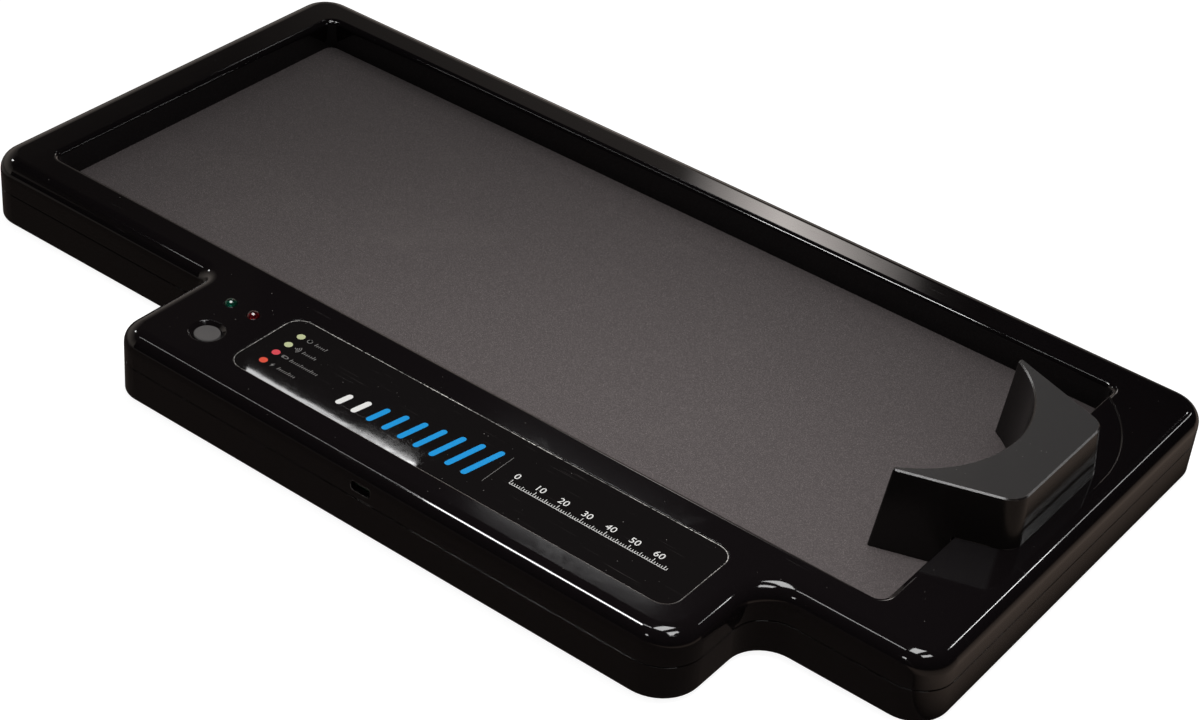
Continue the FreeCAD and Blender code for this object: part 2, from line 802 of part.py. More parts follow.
def make_sensor():
    """The wear mat, the sensing film and the plate, clamped between the ribs and the well's wall."""
    outer, radii = well(shell_wall)
    (x_low, y_low), (x_high, y_high) = outer[0], outer[2]
    slab("mat_surface", x_low, x_high, y_low, y_high, film_z, mat_thickness, radii[0])
    slab(
        "sensor_film", x_low + film_margin, x_high - film_margin, y_low + film_margin,
        y_high - film_margin, plate_z, film_thickness, radii[0] - film_margin,
    )
    slab(
        "backing_plate", x_low, x_high, y_low, y_high, plate_under_z, plate_thickness, radii[0]
    )


def make_ribbon():
    """The film's flat tail: out from under the well's wall, up and into its connector."""
    connector_y = board_rear_y - connector_depth / 2
    block(
        "ribbon_connector", ribbon_x, connector_y, board_under_z - connector_height,
        ribbon_width + 4, connector_depth, connector_height,
    )
    start_y = well_near_y - shell_wall + film_margin
    start_z = plate_z
    end_z = board_under_z - connector_height / 2
    under = [
        (start_y, start_z),
        (start_y - ribbon_flat_run, start_z),
        (start_y - ribbon_flat_run - ribbon_rise_run, end_z),
        (board_rear_y, end_z),
    ]
    over = [(y, z + ribbon_thickness) for y, z in reversed(under)]
    body = new_body("sensor_ribbon")
    sketch = new_sketch(body, ribbon_x - ribbon_width / 2, "YZ_Plane")
    draw_polygon(sketch, under + over)
    pad(body, sketch, ribbon_width)


# ---------------------------------------------------------------- the heel cup

def draw_cup_plan(sketch):
    """The plan at the cup's top: slanted sides, blunt tips and a concave front."""
    tip_half = cup_tip_span / 2
    rear_half = cup_rear_span / 2
    hollow_half = tip_half - cup_tip_width
    corners = [
        (cup_tip_x, cup_centre_y - tip_half),
        (cup_rear_x, cup_centre_y - rear_half),
        (cup_rear_x, cup_centre_y + rear_half),
        (cup_tip_x, cup_centre_y + tip_half),
        (cup_tip_x, cup_centre_y + hollow_half),
        (cup_tip_x, cup_centre_y - hollow_half),
    ]
    points = [Vector(x.value, y.value, 0) for x, y in corners]
    depth = cup_hollow_depth
    radius = (hollow_half * hollow_half + depth * depth) / (depth * 2)
    centre = Vector((cup_tip_x + depth - radius).value, cup_centre_y.value, 0)
    turn = math.asin(hollow_half.value / radius.value)
    for index in range(4):
        sketch.addGeometry(Part.LineSegment(points[index], points[index + 1]), False)
    circle = Part.Circle(centre, Vector(0, 0, 1), radius.value)
    sketch.addGeometry(Part.ArcOfCircle(circle, -turn, turn), False)
    sketch.addGeometry(Part.LineSegment(points[5], points[0]), False)
    for index in range(3):
        sketch.addConstraint(Sketcher.Constraint("Coincident", index, 2, index + 1, 1))
    sketch.addConstraint(Sketcher.Constraint("Coincident", 3, 2, 4, 2))
    sketch.addConstraint(Sketcher.Constraint("Coincident", 4, 1, 5, 1))
    sketch.addConstraint(Sketcher.Constraint("Coincident", 5, 2, 0, 1))
    for index in range(4):
        fix_point(sketch, index, 1, corners[index])
    fix_point(sketch, 3, 2, corners[4])
    fix_point(sketch, 5, 1, corners[5])
    fix(sketch, "Radius", (4,), radius)


def make_heel_cup():
    """A drafted block with a concave front, stepped underneath to sit on both the deck and the mat."""
    body = new_body("heel_cup")
    sketch = new_sketch(body, mat_z)
    draw_cup_plan(sketch)
    straight = pad(body, sketch, cup_top_z - mat_z)
    half_height = (cup_top_z - mat_z).value / 2

    # The walls lean in towards the top, so that the moulding leaves its tool
    def is_wall(face):
        return face.BoundBox.ZLength > half_height

    def is_top(face):
        return abs(face.BoundBox.ZMin - cup_top_z.value) < 1e-4

    draft = body.newObject("PartDesign::Draft", "heel_cup_draft")
    draft.Base = (straight, faces_where(straight.Shape, is_wall))
    draft.NeutralPlane = (straight, faces_where(straight.Shape, is_top))
    draft.setExpression("Angle", cup_draft.text)
    doc.recompute()

    # Below the top every wall is further out, so the leaning corners are too
    def at_rear(edge):
        return edge.BoundBox.ZLength > half_height and edge.CenterOfMass.x > cup_rear_x.value

    def at_tips(edge):
        return edge.BoundBox.ZLength > half_height and edge.CenterOfMass.x < cup_tip_x.value

    dress(body, "Fillet", edges_where(body.Shape, at_rear), cup_corner_radius)
    dress(body, "Fillet", edges_where(body.Shape, at_tips), cup_tip_radius)
    top_edges = edges_where(body.Shape, lambda edge: flat_at(edge, cup_top_z))
    dress(body, "Chamfer", top_edges, cup_edge_bevel)

    # The step: behind the well's wall the underside is up on the deck
    sketch = new_sketch(body, mat_z)
    step_x = well_heel_x - cup_step_clearance
    draw_polygon(sketch, rectangle(step_x, heel_x, near_y, far_y))
    pocket(body, sketch, seat_z - mat_z, True)

    sketch = new_sketch(body, seat_z)
    draw_circles(sketch, cup_screw_places(), screw_shank + pilot_clearance * 2)
    pocket(body, sketch, cup_screw_bite + pilot_spare, True)
    return body


# ---------------------------------------------------------------- label, button and lamps

def make_label():
    inner = label_recess - label_thickness
    return slab(
        "label_overlay", label_toe_x + label_clearance, label_heel_x - label_clearance,
        label_front_y + label_clearance, label_front_y + label_width - label_clearance,
        rim_z - inner - label_thickness, label_thickness, label_corner_radius - label_clearance,
    )


def make_button():
    """The cap with its retaining flange, and the tact switch whose plunger holds it up."""
    flange_z = ceiling_z - button_flange_gap - button_flange_height
    cap_top_z = rim_z - button_sink
    cap = post("button_head", button_x, button_y, flange_z, button_diameter, cap_top_z - flange_z)
    flange_diameter = button_diameter + button_flange_overlap * 2
    flange = post("button_flange", button_x, button_y, flange_z, flange_diameter, button_flange_height)
    whole = fused("button_whole", [cap, flange])
    doc.recompute()
    bevelled = doc.addObject("Part::Chamfer", "button_bevelled")
    bevelled.Base = whole
    bevelled.Edges = [
        (index + 1, button_edge_bevel.value, button_edge_bevel.value)
        for index, edge in enumerate(whole.Shape.Edges)
        if flat_at(edge, cap_top_z)
    ]
    labelled(bevelled, "power_button")

    switch_body = block(
        "switch_body", button_x, button_y, board_z, switch_width, switch_width, switch_height
    )
    switch_top_z = board_z + switch_height
    plunger_z = switch_top_z - plunger_depth
    bore_z = plunger_z - button_travel - plunger_clearance
    bore_diameter = plunger_diameter + plunger_clearance * 2
    switch_bore = post(
        "switch_bore", button_x, button_y, bore_z, bore_diameter, switch_top_z - bore_z + PAST
    )
    labelled(cut("switch_cut", switch_body, switch_bore), "power_switch")
    plunger = post(
        "plunger", button_x, button_y, plunger_z, plunger_diameter, flange_z - plunger_z
    )
    labelled(plunger, "switch_plunger")


def make_lamp(label, x):
    """A domed lamp standing on two square leads."""
    top_z = rim_z + lamp_proud
    bottom_z = top_z - lamp_height
    dome_z = top_z - lamp_diameter / 2
    barrel = post(label + "_barrel", x, lamp_y, bottom_z, lamp_diameter, dome_z - bottom_z)
    dome = doc.addObject("Part::Sphere", label + "_dome")
    dome.setExpression("Radius", (lamp_diameter / 2).text)
    dome.setExpression("Placement.Base.x", x.text)
    dome.setExpression("Placement.Base.y", lamp_y.text)
    dome.setExpression("Placement.Base.z", dome_z.text)
    pieces = [barrel, dome]
    for side in (-1, 1):
        lead_x = x + lamp_lead_pitch / 2 * side
        pieces.append(block(
            label + "_lead", lead_x, lamp_y, board_z, lamp_lead, lamp_lead, bottom_z - board_z + PAST
        ))
    labelled(fused(label + "_whole", pieces), label)


# ---------------------------------------------------------------- the control board

def make_board():
    board = slab(
        "control_board", board_toe_x, board_heel_x, board_front_y, board_rear_y,
        board_under_z, board_thickness, as_size(1.5),
    )
    sketch = new_sketch(board, board_z)
    draw_circles(sketch, board_screw_places(), small_bore)
    pocket(board, sketch, board_thickness, False)
    screws = [
        screw(x, y, board_under_z, small_head, small_head_height, small_shank,
              board_thickness + small_bite)
        for x, y in board_screw_places()
    ]
    grouped("board_screws", screws)


def screw(x, y, seat, head, head_height, shank, length):
    """A plain screw put in from below: its head hangs under seat, its shank goes up."""
    seat_point = Vector(x.value, y.value, seat.value)
    bottom = seat_point - Vector(0, 0, head_height.value)
    head_solid = Part.makeCylinder(head.value / 2, head_height.value, bottom)
    shank_solid = Part.makeCylinder(shank.value / 2, length.value, seat_point)
    return head_solid.fuse(shank_solid)


def make_board_parts():
    """Chips, radio and small parts on the board, in places read from its outline."""
    chips = [
        ("controller_chip", 0.53, 0.62, 12, 12, 1.4),
        ("charger_chip", 0.86, 0.5, 5, 5, 1),
    ]
    for label, along, across, length, width, height in chips:
        x = board_toe_x + board_length * along
        y = board_front_y + board_width * across
        block(label, x, y, board_z, length, width, height)
    readout = [
        Part.makeBox(9, 6, 1.6, Vector(
            board_toe_x.value + board_length.value * 0.36,
            board_front_y.value + board_width.value * across - 3,
            board_z.value,
        ))
        for across in (0.4, 0.75)
    ]
    grouped("readout_chips", readout)

    radio_x = board_toe_x + board_length * 0.72
    radio_y = board_front_y + board_width * 0.72
    carrier = block("radio_carrier", radio_x, radio_y, board_z, 20, 13, 0.8)
    can = block("radio_can", radio_x - 2.5, radio_y, board_z + 0.8, 13, 11, 1.5)
    labelled(fused("radio_whole", [carrier, can]), "radio_module")

    small_parts = []
    for column in range(6):
        x = board_toe_x.value + board_length.value * (0.5 + 0.07 * column)
        y = board_front_y.value + board_width.value * 0.26
        small_parts.append(Part.makeBox(2, 1.2, 0.9, Vector(x, y, board_z.value)))
    coil_x = board_toe_x.value + board_length.value * 0.75
    coil_y = board_front_y.value + board_width.value * 0.42
    small_parts.append(Part.makeCylinder(3, 2.4, Vector(coil_x, coil_y, board_z.value)))
    grouped("board_parts", small_parts)


def make_socket():
    """A hollow metal socket shell with its contact tongue, mouth towards the slot."""
    middle_y = socket_mouth_y + socket_depth / 2
    shell = block("socket_shell", socket_x, middle_y, board_z, socket_width, socket_depth, socket_height)
    hollow = block(
        "socket_hollow", socket_x, middle_y - socket_wall - PAST / 2, board_z + socket_wall,
        socket_width - socket_wall * 2, socket_depth + PAST, socket_height - socket_wall * 2,
    )
    tongue_depth = socket_depth * 0.7
    tongue = block(
        "socket_tongue", socket_x, socket_mouth_y + socket_depth - tongue_depth / 2 - socket_wall / 2,
        board_z + socket_height * 0.45, socket_width * 0.5, tongue_depth, socket_wall * 2,
    )
    emptied = cut("socket_emptied", shell, hollow)
    labelled(fused("socket_whole", [emptied, tongue]), "usb_socket")


# ---------------------------------------------------------------- the battery

def make_battery():
    block(
        "battery_pad", (battery_toe_x + battery_heel_x) / 2, battery_middle_y, floor_z,
        battery_length, battery_width, pad_thickness,
    )
    slab(
        "battery_cell", battery_toe_x, battery_heel_x, battery_front_y, battery_rear_y,
        battery_z, battery_thickness, battery_round,
    )
    header_z = board_under_z - header_height
    block("battery_header", header_x, battery_middle_y, header_z, header_length, header_width,
          header_height)
    plug_x = header_x + header_length / 2 + plug_length / 2
    plug_z = header_z + (header_height - plug_height) / 2
    block("battery_plug", plug_x, battery_middle_y, plug_z, plug_length, header_width - 1.5, plug_height)

    start = Vector(
        (plug_x + plug_length / 2).value, battery_middle_y.value, (plug_z + plug_height / 2).value
    )
    end = Vector(
        battery_toe_x.value, battery_middle_y.value,
        (battery_z + battery_thickness - lead_diameter).value,
    )
    grouped("battery_leads", [twin_lead(start, end)])


def twin_lead(start, end):
    """A flat two-core lead that leaves along X, drops in an S of two arcs and arrives along X."""
    run = end.x - start.x
    drop = start.z - end.z
    straight = run * 0.15
    span = run - 2 * straight
    radius = (span * span + drop * drop) / (4 * drop)
    half = math.asin(span / 2 / radius) / 2
    first = start + Vector(straight, 0, 0)
    last = end - Vector(straight, 0, 0)
    middle = (first + last) * 0.5
    bow = Vector(radius * math.sin(half), 0, -radius * (1 - math.cos(half)))
    path = Part.Wire([
        Part.LineSegment(start, first).toShape(),
        Part.Arc(first, first + bow, middle).toShape(),
        Part.Arc(middle, last - bow, last).toShape(),
        Part.LineSegment(last, end).toShape(),
    ])
    side = Vector(0, (lead_pitch.value + lead_diameter.value) / 2, 0)
    up = Vector(0, 0, lead_diameter.value / 2)
    corners = [start - side - up, start + side - up, start + side + up, start - side + up]
    section = Part.makePolygon(corners + corners[:1])
    return path.makePipeShell([section], True, False)


# ---------------------------------------------------------------- fasteners and feet

def make_fasteners():
    seat = base_z + counterbore_depth
    shell_screws = [
        screw(x, y, seat, screw_head, screw_head_height, screw_shank, parting_z - seat + screw_bite)
        for x, y in shell_screw_places()
    ]
    grouped("shell_screws", shell_screws)
    cup_screws = [
        screw(x, y, ceiling_z, screw_head, screw_head_height, screw_shank,
              seat_z - ceiling_z + cup_screw_bite)
        for x, y in cup_screw_places()
    ]
    grouped("heel_cup_screws", cup_screws)
    feet = [
        Part.makeCylinder(foot_diameter.value / 2, foot_height.value, Vector(x.value, y.value, 0))
        for x, y in foot_places()
    ]
    grouped("rubber_feet", feet)


# ---------------------------------------------------------------- build, check and write

PIECES = (
    "top_shell", "bottom_shell", "mat_surface", "sensor_film", "backing_plate",
    "sensor_ribbon", "ribbon_connector", "heel_cup", "heel_cup_screws", "label_overlay",
    "power_button", "switch_plunger", "power_switch", "green_lamp", "red_lamp", "control_board",
    "board_screws", "controller_chip", "readout_chips", "radio_module", "charger_chip",
    "board_parts", "usb_socket", "battery_header", "battery_plug", "battery_leads",
    "battery_cell", "battery_pad", "shell_screws", "rubber_feet",
)


def build():
    make_top_shell()
    make_bottom_shell()
    make_sensor()
    make_ribbon()
    make_heel_cup()
    make_label()
    make_button()
    make_lamp("green_lamp", green_lamp_x)
    make_lamp("red_lamp", red_lamp_x)
    make_board()
    make_board_parts()
    make_socket()
    make_battery()
    make_fasteners()
    doc.recompute()


def check_document():
    """Stop if any object failed to build."""
    for item in doc.Objects:
        for word in item.State:
            if word in ("Invalid", "Error"):
                raise ValueError(item.Label + " is " + word)


def write_pieces():
    os.makedirs("parts", exist_ok=True)
    for label in PIECES:
        found = doc.getObjectsByLabel(label)
        if len(found) != 1:
            raise ValueError(label + " is not one object")
        shape = found[0].Shape
        if shape.isNull() or not shape.isValid() or not shape.Solids:
            raise ValueError(label + " has no valid solid")
        shape.exportStep("parts/" + label + ".step")
        box = shape.BoundBox
        print("%-18s %2d solids  %9.1f mm3  z %6.2f to %6.2f" % (
            label, len(shape.Solids), shape.Volume, box.ZMin, box.ZMax))


build()
check_document()
write_pieces()
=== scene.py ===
# %% [markdown]
# # A foot measuring device, dressed
#
# The device is a low black tray. A foot stands on the grey mat in its well, heel against the cup, and a
# wing on one long side carries a button, two lamps and a printed label. The frame comes from CAD as
# fixed parts in metres: +X runs from toe to heel, -Y is the wing's side and +Z is up. This lesson
# finishes those parts and adds what is about looks: the print, the metal in the lamps, the recesses of
# the screws.

# %% Load the frame
import math

import bmesh
import bpy
from mathutils import Matrix, Vector


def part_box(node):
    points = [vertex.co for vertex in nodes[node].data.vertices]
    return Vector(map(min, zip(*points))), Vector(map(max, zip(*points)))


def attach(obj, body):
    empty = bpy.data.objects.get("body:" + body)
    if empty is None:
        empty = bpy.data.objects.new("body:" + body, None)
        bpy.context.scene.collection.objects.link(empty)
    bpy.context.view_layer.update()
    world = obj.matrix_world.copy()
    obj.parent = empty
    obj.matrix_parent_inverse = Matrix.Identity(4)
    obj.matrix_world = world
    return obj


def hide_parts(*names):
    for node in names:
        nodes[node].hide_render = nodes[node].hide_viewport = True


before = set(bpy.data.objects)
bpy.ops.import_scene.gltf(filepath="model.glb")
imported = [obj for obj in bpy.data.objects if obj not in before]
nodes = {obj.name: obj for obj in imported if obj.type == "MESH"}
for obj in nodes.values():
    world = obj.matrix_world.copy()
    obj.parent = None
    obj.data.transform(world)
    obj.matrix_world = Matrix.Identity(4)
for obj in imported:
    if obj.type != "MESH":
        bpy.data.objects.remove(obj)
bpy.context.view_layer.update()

MM = 0.001


# %% [markdown]
# ## Where things are
#
# The pieces take their places from the boxes of the CAD nodes. Lengths are in millimetres times `MM`,
# because Blender works in metres.

# %% Read the places from the frame
def middle(name):
    """The centre of a CAD node's box."""
    low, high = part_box(name)
    return (low + high) / 2


def new_object(name, data):
    """An object for some data, put into the scene."""
    item = bpy.data.objects.new(name, data)
    bpy.context.scene.collection.objects.link(item)
    return item


tray_low, tray_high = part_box("top_shell")
label_low, label_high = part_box("label_overlay")
button_low, button_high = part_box("power_button")
socket_low, socket_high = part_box("usb_socket")
cup_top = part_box("heel_cup")[1].z
tray_size = tray_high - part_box("bottom_shell")[0]
print("tray %.0f x %.0f mm, %.0f mm high" % tuple(tray_size / MM))


# %% [markdown]
# ## The camera
#
# The view is from the wing's side and from above, so close that the near edge looks larger than the far
# one. A Track To constraint can aim a camera but not roll it, so its three axes are worked out from an
# azimuth, an elevation and a roll. Depth of field stays off, so every view is sharp.

# %% Place the camera
CAMERA_AZIMUTH = math.radians(33.985)
CAMERA_ELEVATION = math.radians(35.546)
CAMERA_ROLL = math.radians(5.932)
CAMERA_PLACE = Vector((461.70, -640.48, 567.67)) * MM
CAMERA_LENS = 76.77
CAMERA_SENSOR = 36


def camera_axes(azimuth, elevation, roll):
    """Right, up and back directions of a camera that looks down from an azimuth off -Y."""
    level = math.cos(elevation)
    back = Vector((math.sin(azimuth) * level, -math.cos(azimuth) * level, math.sin(elevation)))
    right = Vector((0, 0, 1)).cross(back).normalized()
    up = back.cross(right)
    rolled_right = right * math.cos(roll) + up * math.sin(roll)
    rolled_up = up * math.cos(roll) - right * math.sin(roll)
    return rolled_right, rolled_up, back


camera = new_object("camera", bpy.data.cameras.new("camera"))
camera.data.lens = CAMERA_LENS
camera.data.sensor_width = CAMERA_SENSOR
camera.data.clip_start = 10 * MM
axes = Matrix(camera_axes(CAMERA_AZIMUTH, CAMERA_ELEVATION, CAMERA_ROLL)).transposed()
camera.matrix_world = Matrix.Translation(CAMERA_PLACE) @ axes.to_4x4()
bpy.context.scene.camera = camera
bpy.context.scene.view_settings.view_transform = "Standard"
print("camera %.2f m from the mat" % (CAMERA_PLACE - middle("mat_surface")).length)


# %% [markdown]
# ## Small helpers for nodes
#
# A shader tree is easier to read when each step is one short line. `add` makes a node with its settings
# and inputs, where an input is a plain value or another node's socket. The other methods are the nodes
# that are used over and over.

# %% Node helpers
MIX_FIRST, MIX_SECOND, MIX_RESULT = 6, 7, 2   # a Mix node's colour sockets


class Tree:
    """A shader tree, with a short method for each step that comes back often."""

    def __init__(self, tree):
        self.nodes, self.links = tree.nodes, tree.links
        self.nodes.clear()

    def feed(self, item, inputs):
        """Set inputs of a node by name or number, each to a plain value or from a socket."""
        for name, value in inputs.items():
            if isinstance(value, bpy.types.NodeSocket):
                self.links.new(value, item.inputs[name])
            else:
                item.inputs[name].default_value = value
        return item

    def add(self, kind, inputs=None, **settings):
        """A new node; its settings are such things as the operation of a Math node."""
        item = self.nodes.new("ShaderNode" + kind)
        for name, value in settings.items():
            setattr(item, name, value)
        return self.feed(item, inputs or {})

    def math(self, operation, first, second):
        return self.add("Math", {0: first, 1: second}, operation=operation).outputs[0]

    def plus(self, first, second):
        return self.math("ADD", first, second)

    def minus(self, first, second):
        return self.math("SUBTRACT", first, second)

    def times(self, first, second):
        return self.math("MULTIPLY", first, second)

    def ramp(self, value, start, end, low=0.0, high=1.0):
        """Stretch the part of a value between start and end to run from low to high."""
        reach = {"From Min": start, "From Max": end, "To Min": low, "To Max": high}
        return self.add("MapRange", {"Value": value, **reach}, clamp=True).outputs["Result"]

    def place(self):
        """The point that is being shaded, in the object's own coordinates."""
        return self.add("TexCoord").outputs["Object"]

    def axis(self, vector, name):
        """One coordinate of a vector."""
        return self.add("SeparateXYZ", {0: vector}).outputs[name]

    def noise(self, place, scale, detail=2.0, roughness=0.5, distortion=0.0):
        """A noise texture; its scale is a number or a socket."""
        look = {"Detail": detail, "Roughness": roughness, "Distortion": distortion}
        return self.add("TexNoise", {"Vector": place, "Scale": scale, **look}).outputs[0]

    def mix(self, mask, first, second):
        """Go from the first colour to the second by a mask; each is a socket or an RGBA tuple."""
        inputs = {"Factor": mask, MIX_FIRST: first, MIX_SECOND: second}
        return self.add("Mix", inputs, data_type="RGBA").outputs[MIX_RESULT]

    def group(self, group, **values):
        """The outputs of a node group that is placed here with its own values."""
        return self.add("Group", values, node_tree=group).outputs

    def mask(self, group, **values):
        return self.group(group, **values)["Mask"]


def srgb(red, green, blue):
    """A colour picked on a screen, 0 to 255, as the linear RGBA that shaders use."""
    linear = []
    for value in (red, green, blue):
        share = value / 255
        linear.append(share / 12.92 if share <= 0.04045 else ((share + 0.055) / 1.055) ** 2.4)
    return (*linear, 1.0)


print("a screen grey of 128 is a linear %.3f" % srgb(128, 128, 128)[0])


# %% [markdown]
# ## Floor and background
#
# A white room could be lit until it clips, but that much light would wash out a black object. So the
# floor and the world are white only to the rays that look at them, which Light Path tells apart, while
# the light that they give to surfaces is modest and comes mostly from above. The floor adds a pale glow
# to a plain diffuse surface, so it comes out white and keeps the soft shadow.

# %% Make the floor and the world
FLOOR_SIZE = 12.0
FLOOR_GLOW = 0.92
FLOOR_WHITE = (0.40, 0.40, 0.40, 1.0)
SKY_TOP = 0.40
SKY_SIDE = 0.05


def looked_at(tree):
    """1 for rays from the camera or from a gloss or glass surface, and 0 for light's own rays."""
    path = tree.add("LightPath").outputs
    seen = tree.math("MAXIMUM", path["Is Camera Ray"], path["Is Glossy Ray"])
    return tree.math("MAXIMUM", seen, path["Is Transmission Ray"])


def flat_sheet(name, corners):
    """A sheet of one face with a material of its own; gives back the object and the tree."""
    mesh = bpy.data.meshes.new(name)
    mesh.from_pydata(corners, [], [tuple(range(len(corners)))])
    sheet = new_object(name, mesh)
    material = bpy.data.materials.new(name)
    material.use_nodes = True
    mesh.materials.append(material)
    return sheet, Tree(material.node_tree)


def make_floor():
    half = FLOOR_SIZE / 2
    corners = [(-half, -half, 0), (half, -half, 0), (half, half, 0), (-half, half, 0)]
    floor, tree = flat_sheet("floor", corners)
    paper = tree.add("BsdfDiffuse", {"Color": FLOOR_WHITE})
    glow = tree.add("Emission", {"Strength": tree.times(looked_at(tree), FLOOR_GLOW)})
    both = tree.add("AddShader", {0: paper.outputs[0], 1: glow.outputs[0]})
    tree.add("OutputMaterial", {"Surface": both.outputs[0]})


def make_world():
    world = bpy.data.worlds.new("studio")
    bpy.context.scene.world = world
    world.use_nodes = True
    tree = Tree(world.node_tree)
    height = tree.axis(tree.add("TexCoord").outputs["Generated"], "Z")
    light = tree.ramp(height, 0.0, 1.0, SKY_SIDE, SKY_TOP)
    seen = looked_at(tree)
    strength = tree.plus(seen, tree.times(light, tree.minus(1.0, seen)))
    sky = tree.add("Background", {"Color": (1, 1, 1, 1), "Strength": strength})
    tree.add("OutputWorld", {"Surface": sky.outputs[0]})


make_floor()
make_world()
print("floor %.0f m wide, sky light %.2f to %.2f" % (FLOOR_SIZE, SKY_SIDE, SKY_TOP))


# %% [markdown]
# ## Black cards
#
# Gloss black has almost no colour of its own: it looks like what it reflects, and in a white room that
# is grey. A studio hangs black cards round such an object and lets a few lamps show between them, so
# that thin bright lines draw its edges. These cards are seen by glossy rays alone, so they give no
# shadow. Those beside the object glow a little, warm beyond the heel and grey beyond the far side and
# the toe, which gives the upright faces a soft band that ends in black at their rounded edges. The
# upright ones beyond the toe and the far side glow as well, and show in the top of the shell.

# %% Card helpers
def make_card(name, corners, colour, fades=()):
    """A card that only reflections see; each fade is (axis, start, peak, end, first, last)."""
    card, tree = flat_sheet(name, corners)
    strength = 1.0
    for axis, start, peak, end, first, last in fades:
        along = tree.axis(tree.place(), axis)
        rise = tree.ramp(along, start, peak, first, 1.0)
        both = tree.times(rise, tree.ramp(along, peak, end, 1.0, last))
        strength = both if strength == 1.0 else tree.times(strength, both)
    glow = tree.add("Emission", {"Color": (*colour, 1.0), "Strength": strength})
    tree.add("OutputMaterial", {"Surface": glow.outputs[0]})
    for way in ("camera", "diffuse", "shadow", "transmission"):
        setattr(card, "visible_" + way, False)


def flat_card(name, x_low, x_high, y_low, y_high, z, colour, fades=()):
    corners = [(x_low, y_low, z), (x_high, y_low, z), (x_high, y_high, z), (x_low, y_high, z)]
    make_card(name, corners, colour, fades)


def wall_card(name, start, end, bottom, top, colour, fades=()):
    make_card(name, [(*start, bottom), (*end, bottom), (*end, top), (*start, top)], colour, fades)


print("card helpers ready")


# %% Hang the cards
CARD_REACH = 2.6
CARD_LIFT = 0.4 * MM
CARD_BLACK = (0.010, 0.009, 0.010)
CARD_GREY = (0.20, 0.18, 0.165)
CARD_TURN = 50 * MM
r = CARD_REACH
heel_x, far_y, turn_x = tray_high.x, tray_high.y, tray_low.x - CARD_TURN
# The heel card starts nearly black against the heel face and brightens over 20 mm: a painted shadow, the
# floor's contact shadow as the heel face reflects it.
heel_glow_with_painted_shadow = [("X", heel_x, heel_x + 20 * MM, heel_x + 200 * MM, 0.04, 0.06)]
far_fade = [("Y", far_y, far_y + 40 * MM, far_y + 700 * MM, 0.5, 0.3)]
flat_card("card_heel", heel_x, r, -r, r, CARD_LIFT, (0.34, 0.262, 0.215), heel_glow_with_painted_shadow)
flat_card("card_far", -r, heel_x, far_y, r, CARD_LIFT, CARD_GREY, far_fade)
flat_card("card_toe_floor", -r, turn_x, -r, far_y, CARD_LIFT, CARD_GREY)
flat_card("card_near", turn_x, heel_x, -r, far_y, CARD_LIFT, (0.060, 0.048, 0.042))
flat_card("card_ceiling", -r, r, -r, r, r, CARD_BLACK)
wall_card("card_back", (-r, r), (r, r), 0, r, CARD_BLACK)
wall_card("card_front", (-r, -r), (r, -r), 0, r, CARD_BLACK)
wall_card("card_wall", (r, -r), (r, r), 0, r, CARD_BLACK)
wall_card("card_toe", (-r, -r), (-r, r), 0, r, (0.44, 0.39, 0.35), [("Z", 0, 0.7, 2.0, 0.9, 0.05)])
# Each far card: its gap to the wall, its colour, and for X and for Z where its glow starts, peaks and
# ends, with the share of it that is left at the start.
FAR_CARDS = {
    "card_glow": (0.05, (0.42, 0.375, 0.34), (-r, -1.45, -0.95, 0.35), (0, 1.3, 2.2, 0.6)),
    "card_low": (0.07, (1.30, 1.12, 1.00), (-2.3, -1.5, -0.4, 0.3), (0, 0.25, 0.9, 0.8)),
    "card_glare": (0.1, (7.0, 6.5, 6.2), (-1.53, -1.32, -1.04, 0.0), (1.30, 1.82, 2.12, 0.0)),
}
for name, (gap, colour, across, up) in FAR_CARDS.items():
    left, right = (across[0], r - gap), (across[2], r - gap)
    fades = [("X", *across, 0.0), ("Z", *up, 0.0)]
    wall_card(name, left, right, up[0], up[2], colour, fades)


# %% [markdown]
# ## Lamps
#
# Each lamp has one job. A soft one over the heel half pours light on the mat. Strips stand where their
# mirror images fall on a rounded edge, because that is how a strip draws a long line on gloss: the
# place comes from reflecting the line of sight at the spot that should shine. Small lamps in other
# directions put sparks on the corners.

# %% Lamp helpers
ALONG_X, ALONG_Y = (1, 0, 0), (0, 1, 0)
TOP_ROUND = 6.8 * MM


def make_lamp(name, place, target, power, size, along=ALONG_X):
    """A rectangular lamp at a place, facing a target, its length lying along a direction."""
    light = bpy.data.lights.new(name, "AREA")
    light.shape = "RECTANGLE"
    light.size, light.size_y = size
    light.energy = power
    lamp = new_object(name, light)
    place = Vector(place)
    away = (place - Vector(target)).normalized()
    side = Vector(along)
    side = (side - away * side.dot(away)).normalized()
    turn = Matrix((side, away.cross(side), away)).transposed()
    lamp.matrix_world = Matrix.Translation(place) @ turn.to_4x4()
    lamp.visible_camera = False
    return lamp


def mirrored(spot, normal, distance):
    """Where a lamp has to be for its image to show at a spot with that normal."""
    sight = (CAMERA_PLACE - spot).normalized()
    normal = normal.normalized()
    return spot + (normal * 2 * normal.dot(sight) - sight) * distance


def make_line(name, spot, normal, power, size, along=ALONG_X, distance=1.0):
    """A lamp for reflections alone, mirrored in a spot on the gloss."""
    lamp = make_lamp(name, mirrored(spot, normal, distance), spot, power, size, along)
    lamp.visible_diffuse = False
    return lamp


def edge_spot(x, y, facing, tilt):
    """A spot on the top round of an edge and its normal; tilt is in degrees from upright."""
    tilt = math.radians(tilt)
    normal = Vector((facing[0] * math.sin(tilt), facing[1] * math.sin(tilt), math.cos(tilt)))
    inside = (x - facing[0] * TOP_ROUND, y - facing[1] * TOP_ROUND, tray_high.z - TOP_ROUND)
    return Vector(inside) + normal * TOP_ROUND, normal


print("lamp helpers ready")


# %% [markdown]
# ### Where the lamps stand
#
# A strip as far off as the camera lights a stretch of a straight edge about half as long as itself, and
# a nearer one lights more; across the edge, the round squeezes its image into a thin line. Brightness
# is power in watts over pi times the area, so a small lamp of little power can still be the brightest
# thing that gloss shows.

